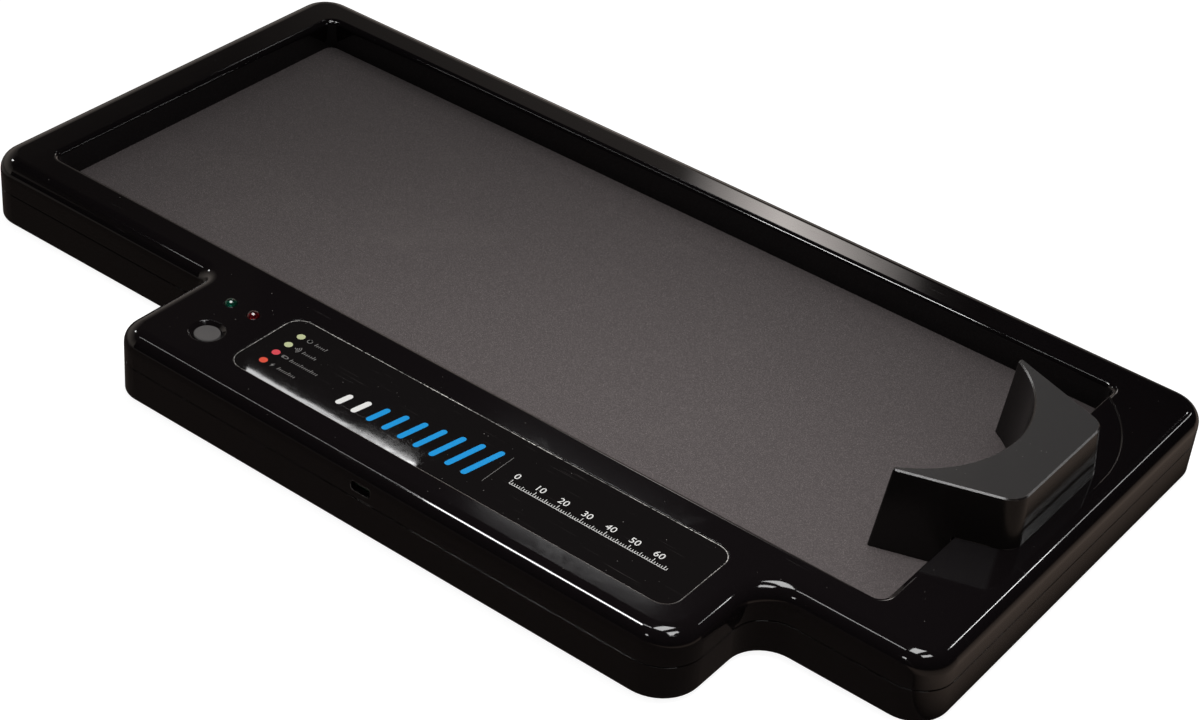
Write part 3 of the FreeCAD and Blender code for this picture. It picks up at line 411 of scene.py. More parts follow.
# %% Light the surfaces
POOL_PLACE, POOL_TARGET = Vector((0.18, 0.02, 0.80)), Vector((0.08, -0.16, 0.016))
light = bpy.data.lights.new("pool", "SPOT")
light.energy = 24.0
light.spot_size = math.radians(48)
light.spot_blend = 1.0
light.shadow_soft_size = 0.10
pool = new_object("pool", light)
pool.location = POOL_PLACE
pool.rotation_euler = (POOL_TARGET - POOL_PLACE).to_track_quat("-Z", "Y").to_euler()
fill = make_lamp("fill", (-0.05, 0.32, 0.66), (0, 0, 0), 0.9, (0.45, 0.45))
for lamp in (pool, fill):
    lamp.visible_glossy = False
    print(lamp.name, "lights surfaces and isn't seen in gloss")


# %% Draw the lines and the sparks
FRONT, HEEL = (0, -1), (1, 0)
# Each line: a spot on the edge, the way the edge faces, the tilt, the power, the size and the distance.
LINES = {
    "wing_line": (98 * MM, tray_low.y, FRONT, 31, 2.4, (0.20, 0.10), 1.0),
    "wing_tail": (20 * MM, tray_low.y, FRONT, 29, 0.30, (0.46, 0.03), 1.0),
    "near_line": (200 * MM, -74.5 * MM, FRONT, 31, 0.25, (0.16, 0.05), 1.0),
    "heel_line": (tray_high.x, 20 * MM, HEEL, 28, 0.12, (0.33, 0.0135), 0.45),
    "heel_bright": (tray_high.x, -40 * MM, HEEL, 28, 0.10, (0.10, 0.0135), 0.45),
}
on_shells = []
for name, (x, y, facing, tilt, power, size, distance) in LINES.items():
    spot, normal = edge_spot(x, y, facing, tilt)
    along = ALONG_X if facing == FRONT else ALONG_Y
    on_shells.append(make_line(name, spot, normal, power, size, along, distance))
well_edge = Vector((18 * MM, 106.4 * MM, tray_high.z - 0.1 * MM))
well_glare = make_line(
    "well_glare", well_edge, Vector((0, -0.10, 0.995)), 0.34, (0.34, 0.07), distance=3.4)

# Each spark: its direction from the middle of the tray, its power, its size and how it lies.
SPARKS = {
    "heel_spark": ((0.055, -0.02, 0.985), 10.0, (0.78, 0.38), ALONG_Y),
    "wing_spark": ((0.44, -0.16, 0.875), 4.6, (0.52, 0.26), (0.4, 0.91, 0)),
    "front_spark": ((0.0, -0.85, 0.52), 0.8, (0.14, 0.14), ALONG_X),
    "toe_spark": ((-0.83, 0.02, 0.55), 0.8, (0.14, 0.12), ALONG_Y),
    "far_spark": ((0.214, 0.809, 0.547), 0.3, (0.08, 0.08), ALONG_X),
}
SPARK_DISTANCE = 1.6
for name, (way, power, size, along) in SPARKS.items():
    spark = make_lamp(name, Vector(way) * SPARK_DISTANCE, (0, 0, 0), power, size, along)
    spark.visible_diffuse = False
    on_shells.append(spark)


# %% [markdown]
# ## Finishes shared by many materials
#
# Wear, dust and grain are the same effects on many parts, in other amounts. Each is a node group, made
# once. All work in the object's own coordinates, in metres, so a grain of 0.4 mm has a scale of 1 /
# 0.0004 = 2500.

# %% Group helper
class Group(Tree):
    """A node group with numbers as inputs, each with a value to start from, and as outputs."""

    def __init__(self, name, inputs, outputs=("Mask",)):
        self.group_tree = bpy.data.node_groups.new(name, "ShaderNodeTree")
        super().__init__(self.group_tree)
        sockets = self.group_tree.interface
        for title, value in inputs.items():
            socket = sockets.new_socket(title, in_out="INPUT", socket_type="NodeSocketFloat")
            socket.default_value = value
        for title in outputs:
            sockets.new_socket(title, in_out="OUTPUT", socket_type="NodeSocketFloat")
        self.given = self.nodes.new("NodeGroupInput").outputs
        self.end = self.nodes.new("NodeGroupOutput")

    def gives(self, **results):
        """Join the outputs; what comes back is the group that materials place."""
        self.feed(self.end, results)
        print("made group", self.group_tree.name)
        return self.group_tree


print("groups start here")


# %% [markdown]
# ### Smudges
#
# Fingers leave patches that are a little duller than clean gloss. A distorted noise with a soft
# threshold gives the same cloudy patches.

# %% Smudge group
g = Group("smudges", {"Scale": 22.0, "Cover": 0.5})
cloud = g.noise(g.place(), g.given["Scale"], 4.0, 0.55, 1.4)
fine = g.noise(g.place(), g.times(g.given["Scale"], 9.0), 3.0, 0.6, 0.6)
mixed = g.plus(g.times(cloud, 0.75), g.times(fine, 0.25))
edge = g.minus(0.72, g.times(g.given["Cover"], 0.3))
smudges = g.gives(Mask=g.ramp(g.minus(mixed, edge), 0.0, 0.16))


# %% [markdown]
# ### Hairlines
#
# Wiping leaves thin straight scratches. A noise that is stretched fifty times longer one way than the
# other breaks up into such lines. Three of them, turned against each other, are cut off at a high
# threshold and thinned out by a patchy noise.

# %% Hairline group
g = Group("hairlines", {"Scale": 1.0, "Cover": 0.5})
layers = []
for turn, fineness in ((0.35, 1500), (-0.9, 1900), (1.3, 1300)):
    stretch = {"Vector": g.place(), "Rotation": (0.0, 0.0, turn), "Scale": (26.0, fineness, 26.0)}
    lines = g.noise(g.add("Mapping", stretch).outputs[0], g.given["Scale"])
    layers.append(g.ramp(lines, 0.70, 0.76))
together = g.math("MAXIMUM", g.math("MAXIMUM", layers[0], layers[1]), layers[2])
patches = g.noise(g.place(), 30.0, 3.0, 0.6, 0.3)
edge = g.minus(0.75, g.times(g.given["Cover"], 0.4))
hairlines = g.gives(Mask=g.times(together, g.ramp(g.minus(patches, edge), 0.0, 0.1)))


# %% [markdown]
# ### Dust
#
# Dust lies only on faces that look up, as separate specks. A Voronoi texture gives one point per cell;
# near it the distance is small, and a random value per cell decides whether its speck is there.

# %% Dust group
g = Group("dust", {"Scale": 700.0, "Cover": 0.2})
cells = g.add("TexVoronoi", {"Vector": g.place(), "Scale": g.given["Scale"]}).outputs
speck = g.ramp(cells["Distance"], 0.10, 0.05)
value = g.add("SeparateColor", {0: cells["Color"]}).outputs[0]
chosen = g.math("LESS_THAN", value, g.given["Cover"])
patches = g.ramp(g.noise(g.place(), 24.0, 3.0, 0.6), 0.40, 0.62)
upward = g.ramp(g.axis(g.add("NewGeometry").outputs["Normal"], "Z"), 0.5, 0.9)
dust = g.gives(Mask=g.times(g.times(g.times(speck, chosen), patches), upward))


# %% [markdown]
# ### Rubbed edges
#
# The Bevel node gives the normal that a rounded edge would have. Where it differs from the real normal
# there is an edge, and a noise breaks the rubbed line up.

# %% Edge rub group
g = Group("edge_rub", {"Radius": 0.6 * MM, "Amount": 0.5})
rounded = g.add("Bevel", {"Radius": g.given["Radius"]}, samples=4).outputs[0]
both = {0: rounded, 1: g.add("NewGeometry").outputs["Normal"]}
alike = g.add("VectorMath", both, operation="DOT_PRODUCT").outputs["Value"]
broken = g.ramp(g.noise(g.place(), 350.0, 4.0, 0.65, 0.5), 0.42, 0.66)
worn = g.times(g.ramp(alike, 0.99, 0.80), broken)
edge_rub = g.gives(Mask=g.times(worn, g.given["Amount"]))


# %% [markdown]
# ### Grain
#
# Moulded plastic, sheet and rubber have a fine grain from their tool. One group gives a height for a
# Bump node and a speckle mask for colour, both from noise and Voronoi cells of the same size.

# %% Grain group
g = Group("grain", {"Size": 0.5 * MM, "Pebble": 0.5}, ("Height", "Speckle"))
scale = g.math("DIVIDE", 1.0, g.given["Size"])
soft = g.noise(g.place(), scale, 3.0, 0.6, 0.2)
look = {"Vector": g.place(), "Scale": scale, "Smoothness": 0.6}
cells = g.add("TexVoronoi", look, feature="SMOOTH_F1").outputs["Distance"]
by_noise = g.times(soft, g.minus(1.0, g.given["Pebble"]))
by_cells = g.times(g.ramp(cells, 0.0, 0.6, 1.0, 0.0), g.given["Pebble"])
double = g.noise(g.place(), g.times(scale, 1.7), 2.0, 0.7)
grain = g.gives(Height=g.plus(by_noise, by_cells), Speckle=g.ramp(double, 0.60, 0.72))


# %% [markdown]
# ### Brushed metal
#
# Sheet metal keeps fine lines from rolling: a noise that is stretched along X.

# %% Brushed group
g = Group("brushed", {"Fineness": 4000.0}, ("Lines",))
stretched = g.add("Mapping", {"Vector": g.place(), "Scale": (0.02, 1.0, 1.0)}).outputs[0]
brushed = g.gives(Lines=g.ramp(g.noise(stretched, g.given["Fineness"], 3.0, 0.6), 0.25, 0.75))


# %% [markdown]
# ## Materials
#
# A material is one Principled BSDF. Numbers that are the same all over, such as the IOR, are set on its
# own sockets; what varies over the surface comes from the groups, through `surface` and `bump`.

# %% Material helper
finishes = {}


class Finish(Tree):
    """A material with one Principled BSDF, kept in `finishes` under its name."""

    def __init__(self, name, colour, roughness, metallic=0.0, specular=0.5):
        material = bpy.data.materials.new(name)
        material.use_nodes = True
        super().__init__(material.node_tree)
        look = {"Base Color": colour, "Roughness": roughness, "Metallic": metallic}
        self.shader = self.add("BsdfPrincipled", {**look, "Specular IOR Level": specular})
        self.add("OutputMaterial", {"Surface": self.shader.outputs[0]})
        finishes[name] = material
        print("finish", name)

    def surface(self, colour, roughness=None):
        """Let the colour, and the roughness if one is given, vary over the surface."""
        self.feed(self.shader, {"Base Color": colour})
        if roughness is not None:
            self.feed(self.shader, {"Roughness": roughness})

    def bump(self, height, distance, strength=1.0, under=None):
        """Feed a height through a Bump node into the shader's normal."""
        inputs = {"Height": height, "Distance": distance, "Strength": strength}
        if under is not None:
            inputs["Normal"] = under
        self.feed(self.shader, {"Normal": self.add("Bump", inputs).outputs[0]})

    def soft_edges(self, radius, samples):
        """The normal of a surface whose sharp edges are rounded."""
        return self.add("Bevel", {"Radius": radius}, samples=samples).outputs[0]


print("material helper ready")


# %% [markdown]
# ### The black shell
#
# Both shells are moulded in black plastic from a polished tool, so their look is in the gloss: smudges
# raise the roughness, hairlines and dust catch light, and a Bevel node rounds sharp edges just enough
# to draw a thin line of light. The slot in front of the socket has pale edges, partly scuffs from plugs
# and partly a painted highlight that outlines the slot, so the rub mask is let in near that place.

# %% Gloss black
DUST = srgb(120, 116, 112)
PALE_DUST_AND_HIGHLIGHT = srgb(150, 146, 142)
s = Finish("gloss_black", srgb(13, 10, 11), 0.10)
smudge = s.mask(smudges, Scale=14.0, Cover=0.45)
scratch = s.mask(hairlines, Scale=1.0, Cover=0.45)
specks = s.mask(dust, Scale=520.0, Cover=0.10)
dulled = s.plus(s.ramp(smudge, 0, 1, 0.06, 0.13), s.times(scratch, 0.22))
dusty = s.mix(specks, s.mix(scratch, srgb(14, 11, 12), srgb(30, 27, 27)), DUST)
slot = (middle("usb_socket").x, tray_low.y, middle("usb_socket").z)
from_slot = s.add("VectorMath", {0: s.place(), 1: slot}, operation="DISTANCE").outputs["Value"]
worn = s.mask(edge_rub, Radius=0.5 * MM, Amount=1.0)
# Pale edges round the slot: partly scuffs from plugs, partly a painted highlight that outlines the slot.
slot_wear_and_highlight = s.times(worn, s.ramp(from_slot, 8 * MM, 5 * MM))
s.surface(s.mix(slot_wear_and_highlight, dusty, PALE_DUST_AND_HIGHLIGHT), s.plus(dulled, s.times(specks, 0.6)))
s.bump(s.noise(s.place(), 55.0), 0.012 * MM, under=s.soft_edges(0.35 * MM, 6))


# %% [markdown]
# ### The mat
#
# A thin sheet of hard rubber with a fine pebbled face: dark warm grey, a little paler where feet have
# polished it, with tiny bright specks that are a painted highlight, where single grains would catch the
# light.

# %% Mat grey
s = Finish("mat_grey", srgb(92, 86, 86), 0.6)
pebbles = s.group(grain, Size=0.50 * MM, Pebble=0.55)
smudge = s.mask(smudges, Scale=7.0, Cover=0.6)
base = s.mix(smudge, srgb(97, 90, 90), srgb(104, 97, 96))
pits = s.times(s.ramp(pebbles["Height"], 0.62, 0.30), 0.55)
# Painted highlight: pale specks where single grains would catch the light.
painted_glints = s.times(pebbles["Speckle"], 0.6)
tone = s.mix(painted_glints, s.mix(pits, base, srgb(56, 52, 52)), srgb(158, 150, 148))
s.surface(tone, s.ramp(smudge, 0, 1, 0.62, 0.54))
s.bump(pebbles["Height"], 0.16 * MM, 0.9)


# %% [markdown]
# ### The cup, the feet and other plain plastics
#
# Satin plastics, foam and rubber share one recipe: a grain, smudges that shift the gloss, and a rubbed
# edge that is a little paler and shinier. Each finish is one call with its own values.

# %% Satin finishes
def satin(name, colour, worn, roughness, size, depth, pebble=0.3, rub=0.5, specular=0.5):
    """A plastic whose grain has a size and a depth in millimetres."""
    s = Finish(name, colour, roughness, specular=specular)
    height = s.group(grain, Size=size * MM, Pebble=pebble)["Height"]
    smudge = s.mask(smudges, Scale=18.0, Cover=0.5)
    rubbed = s.mask(edge_rub, Radius=0.5 * MM, Amount=rub)
    specks = s.mask(dust, Scale=620.0, Cover=0.06)
    gloss = s.ramp(smudge, 0, 1, roughness, roughness * 0.82)
    tone = s.mix(specks, s.mix(rubbed, colour, worn), DUST)
    s.surface(tone, s.minus(gloss, s.times(rubbed, roughness * 0.3)))
    s.bump(height, depth * MM, 0.7)


# The cup's rub mask runs at full strength: its pale top edges are partly wear and partly a painted
# highlight along the edges.
satin("cup_black", srgb(25, 22, 21), srgb(104, 96, 92), 0.22, 0.35, 0.02, rub=1.0, specular=0.32)
satin("foot_rubber", srgb(30, 30, 30), srgb(58, 57, 55), 0.72, 0.60, 0.05, pebble=0.6)
satin("plunger_black", srgb(26, 26, 27), srgb(48, 48, 48), 0.45, 0.25, 0.01)
satin("connector_white", srgb(226, 221, 208), srgb(240, 238, 230), 0.42, 0.25, 0.01)
satin("pad_foam", srgb(46, 46, 48), srgb(70, 70, 72), 0.90, 0.45, 0.12, pebble=0.7)
satin("lead_red", srgb(168, 26, 22), srgb(196, 66, 58), 0.38, 0.30, 0.01)
satin("chip_black", srgb(30, 30, 31), srgb(58, 58, 58), 0.55, 0.12, 0.01)


# %% [markdown]
# ### The label's film
#
# A polyester film, printed on its face. It is glossier than the shell and softer, so it carries most of
# the hairlines.

# %% Label film
FILM = srgb(17, 15, 15)
s = Finish("label_black", FILM, 0.06)
smudge = s.mask(smudges, Scale=26.0, Cover=0.7)
scratch = s.mask(hairlines, Scale=1.3, Cover=0.8)
specks = s.mask(dust, Scale=560.0, Cover=0.14)
dulled = s.plus(s.ramp(smudge, 0, 1, 0.02, 0.045), s.times(scratch, 0.10))
s.surface(s.mix(specks, s.mix(scratch, FILM, srgb(46, 43, 42)), PALE_DUST_AND_HIGHLIGHT), dulled)
s.bump(s.noise(s.place(), 90.0), 0.003 * MM, under=s.soft_edges(0.2 * MM, 4))


# %% [markdown]
# ### Metals
#
# Metal has no colour under its gloss, so Metallic is 1 and the base colour is the tint of the
# reflection. The brushed group gives the lines. The socket's nickel is tarnished, so it is only half a
# metal.

# %% Metal finishes
def metal(name, colour, roughness, fineness):
    s = Finish(name, colour, roughness, metallic=1.0)
    lines = s.group(brushed, Fineness=fineness)["Lines"]
    rubbed = s.mask(edge_rub, Radius=0.3 * MM, Amount=0.4)
    pale = tuple(min(1.0, value * 1.35) for value in colour[:3]) + (1.0,)
    s.surface(s.mix(rubbed, colour, pale), s.ramp(lines, 0, 1, roughness * 0.8, roughness * 1.25))
    s.bump(lines, 0.004 * MM, 0.6)


metal("plate_aluminium", srgb(196, 198, 200), 0.34, 3000.0)
metal("screw_steel", srgb(150, 150, 152), 0.30, 5000.0)
metal("switch_steel", srgb(190, 190, 192), 0.28, 5000.0)
metal("shield_steel", srgb(178, 178, 180), 0.26, 5000.0)
metal("contact_gold", srgb(214, 170, 92), 0.24, 6000.0)
s = Finish("socket_nickel", srgb(196, 192, 186), 0.38, metallic=0.55)
lines = s.group(brushed, Fineness=6000.0)["Lines"]
rubbed = s.mask(edge_rub, Radius=0.2 * MM, Amount=0.7)
s.surface(s.mix(rubbed, srgb(188, 184, 178), srgb(226, 222, 214)), s.ramp(lines, 0, 1, 0.32, 0.46))


# %% [markdown]
# ### Board, film and battery foil
#
# A circuit board is green lacquer over copper tracks, which show as slightly paler raised lines. The
# sensing film is amber with a grid of printed silver lines. The battery's foil is silver grey and
# crinkled.

# %% Board green
LACQUER = srgb(18, 74, 40)
s = Finish("board_green", LACQUER, 0.32)
look = {"Vector": s.place(), "Scale": 260.0, "Randomness": 0.7}
cells = s.add("TexVoronoi", look, distance="CHEBYCHEV").outputs["Distance"]
tracks = s.ramp(cells, 0.42, 0.47)
s.surface(s.mix(tracks, LACQUER, srgb(34, 104, 58)))
s.bump(tracks, 0.03 * MM, 0.8)


# %% Film amber
AMBER = srgb(176, 108, 34)
GRID_PITCH, LINE_WIDTH = 5 * MM, 1.6 * MM
s = Finish("film_amber", AMBER, 0.28)
rows = []
for axis in "XY":
    cell = s.math("FRACT", s.math("DIVIDE", s.axis(s.place(), axis), GRID_PITCH), 0.0)
    rows.append(s.math("LESS_THAN", cell, LINE_WIDTH / GRID_PITCH))
lines = s.math("MAXIMUM", *rows)
s.surface(s.mix(lines, AMBER, srgb(150, 146, 138)), s.ramp(lines, 0, 1, 0.26, 0.42))
s.bump(lines, 0.02 * MM, 0.6)


# %% Cell foil
s = Finish("cell_foil", srgb(176, 178, 182), 0.32, metallic=0.8)
creases = s.noise(s.place(), 140.0, 5.0, 0.6, 1.2)
tone = s.mix(s.ramp(creases, 0.4, 0.7), srgb(170, 172, 176), srgb(190, 192, 196))
s.surface(tone, s.ramp(creases, 0.3, 0.7, 0.26, 0.42))
s.bump(creases, 0.15 * MM, 0.6)


# %% [markdown]
# ### Lamp lenses
#
# The lamps are clear tinted resin over a tiny reflector: unlit, they are dark with a coloured glint.
# Transmission lets light through, and a faint swirl varies the tint.

# %% Lens finishes
def lens(name, colour, deep):
    s = Finish(name, colour, 0.05)
    s.feed(s.shader, {"IOR": 1.5, "Transmission Weight": 0.85})
    swirl = s.noise(s.place(), 600.0, distortion=0.8)
    s.surface(s.mix(s.ramp(swirl, 0.35, 0.65), colour, deep))


lens("lamp_green", srgb(10, 84, 62), srgb(7, 62, 46))
lens("lamp_red", srgb(100, 16, 20), srgb(72, 10, 14))


# %% [markdown]
# ### Inks and the film's cut edge
#
# Screen ink is flat, opaque and a little uneven, with pinholes where the black shows through. The
# film's cut edge is milky where the knife has crazed it and dark where it is clean, so a noise breaks
# up its colour; the milky part is also a painted highlight of the edge catching the light, painted
# paler towards the rear edge.

# %% Ink finishes
INKS = {
    "ink_white": srgb(238, 237, 234), "ink_blue": srgb(24, 152, 222), "ink_lime": srgb(200, 207, 160),
    "ink_pink": srgb(228, 80, 90), "ink_orange": srgb(232, 88, 66), "ink_grey": srgb(132, 130, 128),
}
for name, colour in INKS.items():
    s = Finish(name, colour, 0.30)
    texture = s.group(grain, Size=0.16 * MM, Pebble=0.2)
    scratch = s.mask(hairlines, Scale=1.2, Cover=0.5)
    thin = tuple(value * 0.72 for value in colour[:3]) + (1.0,)
    cloudy = s.mix(s.ramp(texture["Height"], 0.35, 0.75), thin, colour)
    holes = s.times(s.math("MAXIMUM", texture["Speckle"], scratch), 0.35)
    s.surface(s.mix(holes, cloudy, srgb(22, 20, 20)), s.ramp(scratch, 0, 1, 0.30, 0.55))
    s.bump(texture["Height"], 0.006 * MM, 0.6)


# %% Cut edge finish
# The pale colour is partly crazing of the cut and partly a painted highlight of the edge.
s = Finish("cut_edge", srgb(90, 88, 87), 0.45)
chips = s.ramp(s.noise(s.place(), 900.0, 4.0, 0.65, 0.4), 0.36, 0.58)
runs = s.ramp(s.noise(s.place(), 38.0, 3.0, 0.55), 0.38, 0.62)
# Painted highlight: the edge is made paler towards the rear, where it catches the light.
painted_rear_highlight = s.ramp(s.axis(s.place(), "Y"), label_low.y + 4 * MM, label_high.y - 1 * MM, 0.5, 1.0)
crazed_and_painted_highlight = s.times(s.times(chips, s.ramp(runs, 0, 1, 0.3, 1.0)), painted_rear_highlight)
s.surface(s.mix(crazed_and_painted_highlight, srgb(46, 44, 44), srgb(236, 232, 226)), s.ramp(chips, 0, 1, 0.30, 0.60))
s.bump(chips, 0.02 * MM, 0.8)


# %% [markdown]
# ### The button's turned face
#
# The button is turned from bar, so its face has fine rings. The distance from its axis goes into a
# noise as the only coordinate, which makes rings of uneven strength.

# %% Turned grey
s = Finish("button_grey", srgb(94, 92, 92), 0.42, metallic=0.25)
offset = s.add("VectorMath", {0: s.place(), 1: middle("power_button")}, operation="SUBTRACT")
level = s.add("VectorMath", {0: offset.outputs[0], 1: (1, 1, 0)}, operation="MULTIPLY")
away = s.add("VectorMath", {0: level.outputs[0]}, operation="LENGTH").outputs["Value"]
rings = s.noise(s.add("CombineXYZ", {"X": away}).outputs[0], 6000.0, 3.0, 0.6)
rubbed = s.mask(edge_rub, Radius=0.4 * MM, Amount=0.6)
smudge = s.mask(smudges, Scale=60.0, Cover=0.5)
tone = s.mix(s.ramp(rings, 0.3, 0.7), srgb(88, 86, 86), srgb(99, 97, 96))
s.surface(s.mix(rubbed, tone, srgb(132, 130, 128)), s.ramp(smudge, 0, 1, 0.40, 0.52))
s.bump(rings, 0.008 * MM, 0.7)


# %% [markdown]
# ## Dress the CAD parts
#
# The name of a node's own material says which finish it takes. The loop puts the new finish in that
# slot and never touches the mesh.

# %% Assign the finishes
for name, item in sorted(nodes.items()):
    old = [m.name for m in item.data.materials if m]
    slot = [finish for finish in finishes if old and old[0].startswith(finish)][0]
    item.data.materials.clear()
    item.data.materials.append(finishes[slot])
    print("%-18s %s" % (name, slot))


# %% [markdown]
# ## Helpers for pieces
#
# The pieces add what is too fine for the CAD parts. A bmesh is Blender's editable mesh: vertices and
# faces are made in code, normals are turned outwards, and the result becomes a mesh, smooth except at
# sharp angles.

# %% Piece helpers
SHARP_ANGLE = math.radians(32)


def finished_mesh(name, shape):
    """Turn a bmesh into a mesh, smooth except at edges over the sharp angle."""
    bmesh.ops.recalc_face_normals(shape, faces=shape.faces)
    mesh = bpy.data.meshes.new(name)
    shape.to_mesh(mesh)
    shape.free()
    for face in mesh.polygons:
        face.use_smooth = True
    mesh.set_sharp_from_angle(angle=SHARP_ANGLE)
    return mesh


def new_piece(name, shape, finish, body="housing", instead_of=None):
    """Put a bmesh into the scene, give it its finish and let it ride on a body."""
    mesh = finished_mesh(name, shape)
    piece = new_object(name, mesh)
    mesh.materials.clear()
    mesh.materials.append(finishes[finish])
    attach(piece, body)
    if instead_of:
        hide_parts(instead_of)
    print("%-22s %5d faces, rides on %s" % (name, len(mesh.polygons), body))


def skin(shape, loops, closed=False):
    """Faces from each loop of vertices to the next; closed also joins the last to the first."""
    for lower, upper in zip(loops, loops[1:] + loops[:closed]):
        steps = max(len(lower), len(upper))
        for step in range(steps):
            after = step + 1
            corners = [lower[step % len(lower)], lower[after % len(lower)]]
            corners += [upper[after % len(upper)], upper[step % len(upper)]]
            shape.faces.new(list(dict.fromkeys(corners)))


def turned(shape, profile, centre=(0, 0), steps=48):
    """Add a solid of revolution about a vertical axis; profile is (radius, height) from end to end."""
    rings = []
    for radius, height in profile:
        angles = [2 * math.pi * step / steps for step in range(steps if radius > 0 else 1)]
        across = [(centre[0] + radius * math.cos(a), centre[1] + radius * math.sin(a)) for a in angles]
        rings.append([shape.verts.new((x, y, height)) for x, y in across])
    skin(shape, rings)


def arc(x, y, radius, start, end, steps):
    """Points of an arc from one angle to another, in degrees."""
    angles = [math.radians(start + (end - start) * step / steps) for step in range(steps + 1)]
    return [(x + radius * math.cos(a), y + radius * math.sin(a)) for a in angles]


print("piece helpers ready")


# %% Copies in the places of CAD solids
WELD = 0.001 * MM


def solids_in(name):
    """The box of each separate solid in a CAD node, read from a welded copy of its mesh."""
    copy = bmesh.new()
    copy.from_mesh(nodes[name].data)
    bmesh.ops.remove_doubles(copy, verts=copy.verts, dist=WELD)
    left = set(copy.verts)
    boxes = []
    while left:
        group = [left.pop()]
        for vertex in group:
            for edge in vertex.link_edges:
                other = edge.other_vert(vertex)
                if other in left:
                    left.remove(other)
                    group.append(other)
        low = Vector(min(v.co[axis] for v in group) for axis in range(3))
        high = Vector(max(v.co[axis] for v in group) for axis in range(3))
        boxes.append((low, high))
    copy.free()
    return sorted(boxes, key=lambda box: tuple(round(value, 5) for value in box[0]))


def copied_into(mesh, boxes):
    """A copy of a mesh in each box, its origin in the middle of the box's lower face."""
    shape = bmesh.new()
    for low, high in boxes:
        start = len(shape.verts)
        shape.from_mesh(mesh)
        shape.verts.ensure_lookup_table()
        place = Vector(((low.x + high.x) / 2, (low.y + high.y) / 2, low.z))
        bmesh.ops.translate(shape, verts=shape.verts[start:], vec=place)
    return shape


screw_boxes = solids_in("shell_screws")
foot_boxes = solids_in("rubber_feet")
print("found", len(screw_boxes), "shell screws and", len(foot_boxes), "feet")


# %% [markdown]
# ## The power button
#
# A short turned cap: a flange under the shell's skin keeps it in, and its face is slightly dished for
# the fingertip. A turned part is a profile spun round an axis. The edge of the face is a small arc,
# because that is what catches the light.

# %% Power button
def make_button():
    low, high = button_low, button_high
    flange, flange_top = (high.x - low.x) / 2, low.z + 1.0 * MM
    cap = flange - 1.2 * MM
    corner, groove, edge, dish, dish_steps = 0.15 * MM, 0.1 * MM, 0.5 * MM, 0.14 * MM, 8
    profile = [(0, low.z), (flange - corner, low.z), (flange, low.z + corner)]
    profile += [(flange, flange_top - corner), (flange - corner, flange_top)]
    profile += [(cap + groove, flange_top), (cap, flange_top + groove)]
    profile += arc(cap - edge, high.z - edge, edge, 0, 90, 6)
    face_radius = cap - edge - 0.3 * MM
    for step in range(1, dish_steps + 1):
        share = 1 - step / dish_steps
        profile.append((face_radius * share, high.z - dish * (1 - share * share)))
    shape = bmesh.new()
    turned(shape, profile, middle("power_button"), 64)
    new_piece("button_cap", shape, "button_grey", "power_button", "power_button")


make_button()


# %% [markdown]
# ## Inside the lamps
#
# A lamp of this kind is cast resin round two leads. One ends in an anvil with a small cup for the
# light-giving chip, the other in a thin post beside it, and they give the tinted dome its dark core.
# The CAD part is the resin, so only the metal is added.

# %% Lamp frames
LAMP_CUP = [
    (0, -3.2), (0.35, -3.2), (0.40, -1.6), (1.05, -1.1), (1.15, 0), (0.95, 0),
    (0.50, -0.6), (0.24, -0.6), (0.24, -0.35), (0, -0.35),
]
LAMP_POST = [(0, -3.2), (0.26, -3.2), (0.26, -0.1), (0.18, 0.05), (0, 0.05)]


def make_lamp_frame(node):
    """The cup and the post, from profiles in millimetres out from an axis and up from the cup's rim."""
    centre, rim = middle(node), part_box(node)[1].z - 2.6 * MM
    shape = bmesh.new()
    for profile, aside, steps in ((LAMP_CUP, -0.35, 32), (LAMP_POST, 1.35, 20)):
        points = [(radius * MM, rim + height * MM) for radius, height in profile]
        turned(shape, points, (centre.x + aside * MM, centre.y), steps)
    new_piece(node + "_frame", shape, "shield_steel")


for node in ("green_lamp", "red_lamp"):
    make_lamp_frame(node)


# %% [markdown]
# ## Print on the label
#
# Screen ink stands a few hundredths of a millimetre proud of the film, so every mark is a thin solid:
# an outline with a top, a bottom and sides. Strokes with round ends, discs and arcs are enough for all
# of the signs.

# %% Outlines for ink
INK = 0.03 * MM


def stroke(x, y, length, width, angle=0.0, steps=5):
    """A straight stroke with round ends, from (x, y) on in a direction."""
    ahead = Vector((math.cos(angle), math.sin(angle)))
    aside = Vector((-ahead.y, ahead.x))
    outline = []
    for reach, sign in ((length, 1), (0, -1)):
        centre = Vector((x, y)) + ahead * reach
        for step in range(steps + 1):
            turn = math.pi * (step / steps - 0.5)
            outline.append(centre + (ahead * math.cos(turn) + aside * math.sin(turn)) * (sign * width / 2))
    return outline


def disc(x, y, radius, steps=32):
    angles = [2 * math.pi * step / steps for step in range(steps)]
    return [Vector((x + radius * math.cos(a), y + radius * math.sin(a))) for a in angles]


def arc_band(x, y, radius, width, start, end, steps=18):
    """Part of a ring between two angles in degrees."""
    outer = arc(x, y, radius + width / 2, start, end, steps)
    return [Vector(point) for point in outer + arc(x, y, radius - width / 2, end, start, steps)]


def loop(shape, outline, height):
    """A loop of vertices on a flat outline, at a height."""
    return [shape.verts.new((p.x, p.y, height)) for p in outline]


def add_prism(shape, outline, bottom, top):
    """A flat solid on an outline; concave tops are split into triangles."""
    lower, upper = loop(shape, outline, bottom), loop(shape, outline, top)
    caps = [shape.faces.new(upper), shape.faces.new(list(reversed(lower)))]
    skin(shape, [lower, upper])
    bmesh.ops.triangulate(shape, faces=caps)


def printed(name, outlines, finish):
    """Ink on the label: every outline as a thin solid, all in one piece."""
    shape = bmesh.new()
    for outline in outlines:
        add_prism(shape, outline, label_high.z, label_high.z + INK)
    new_piece(name, shape, finish)


print("ink is %.2f mm thick" % (INK / MM))


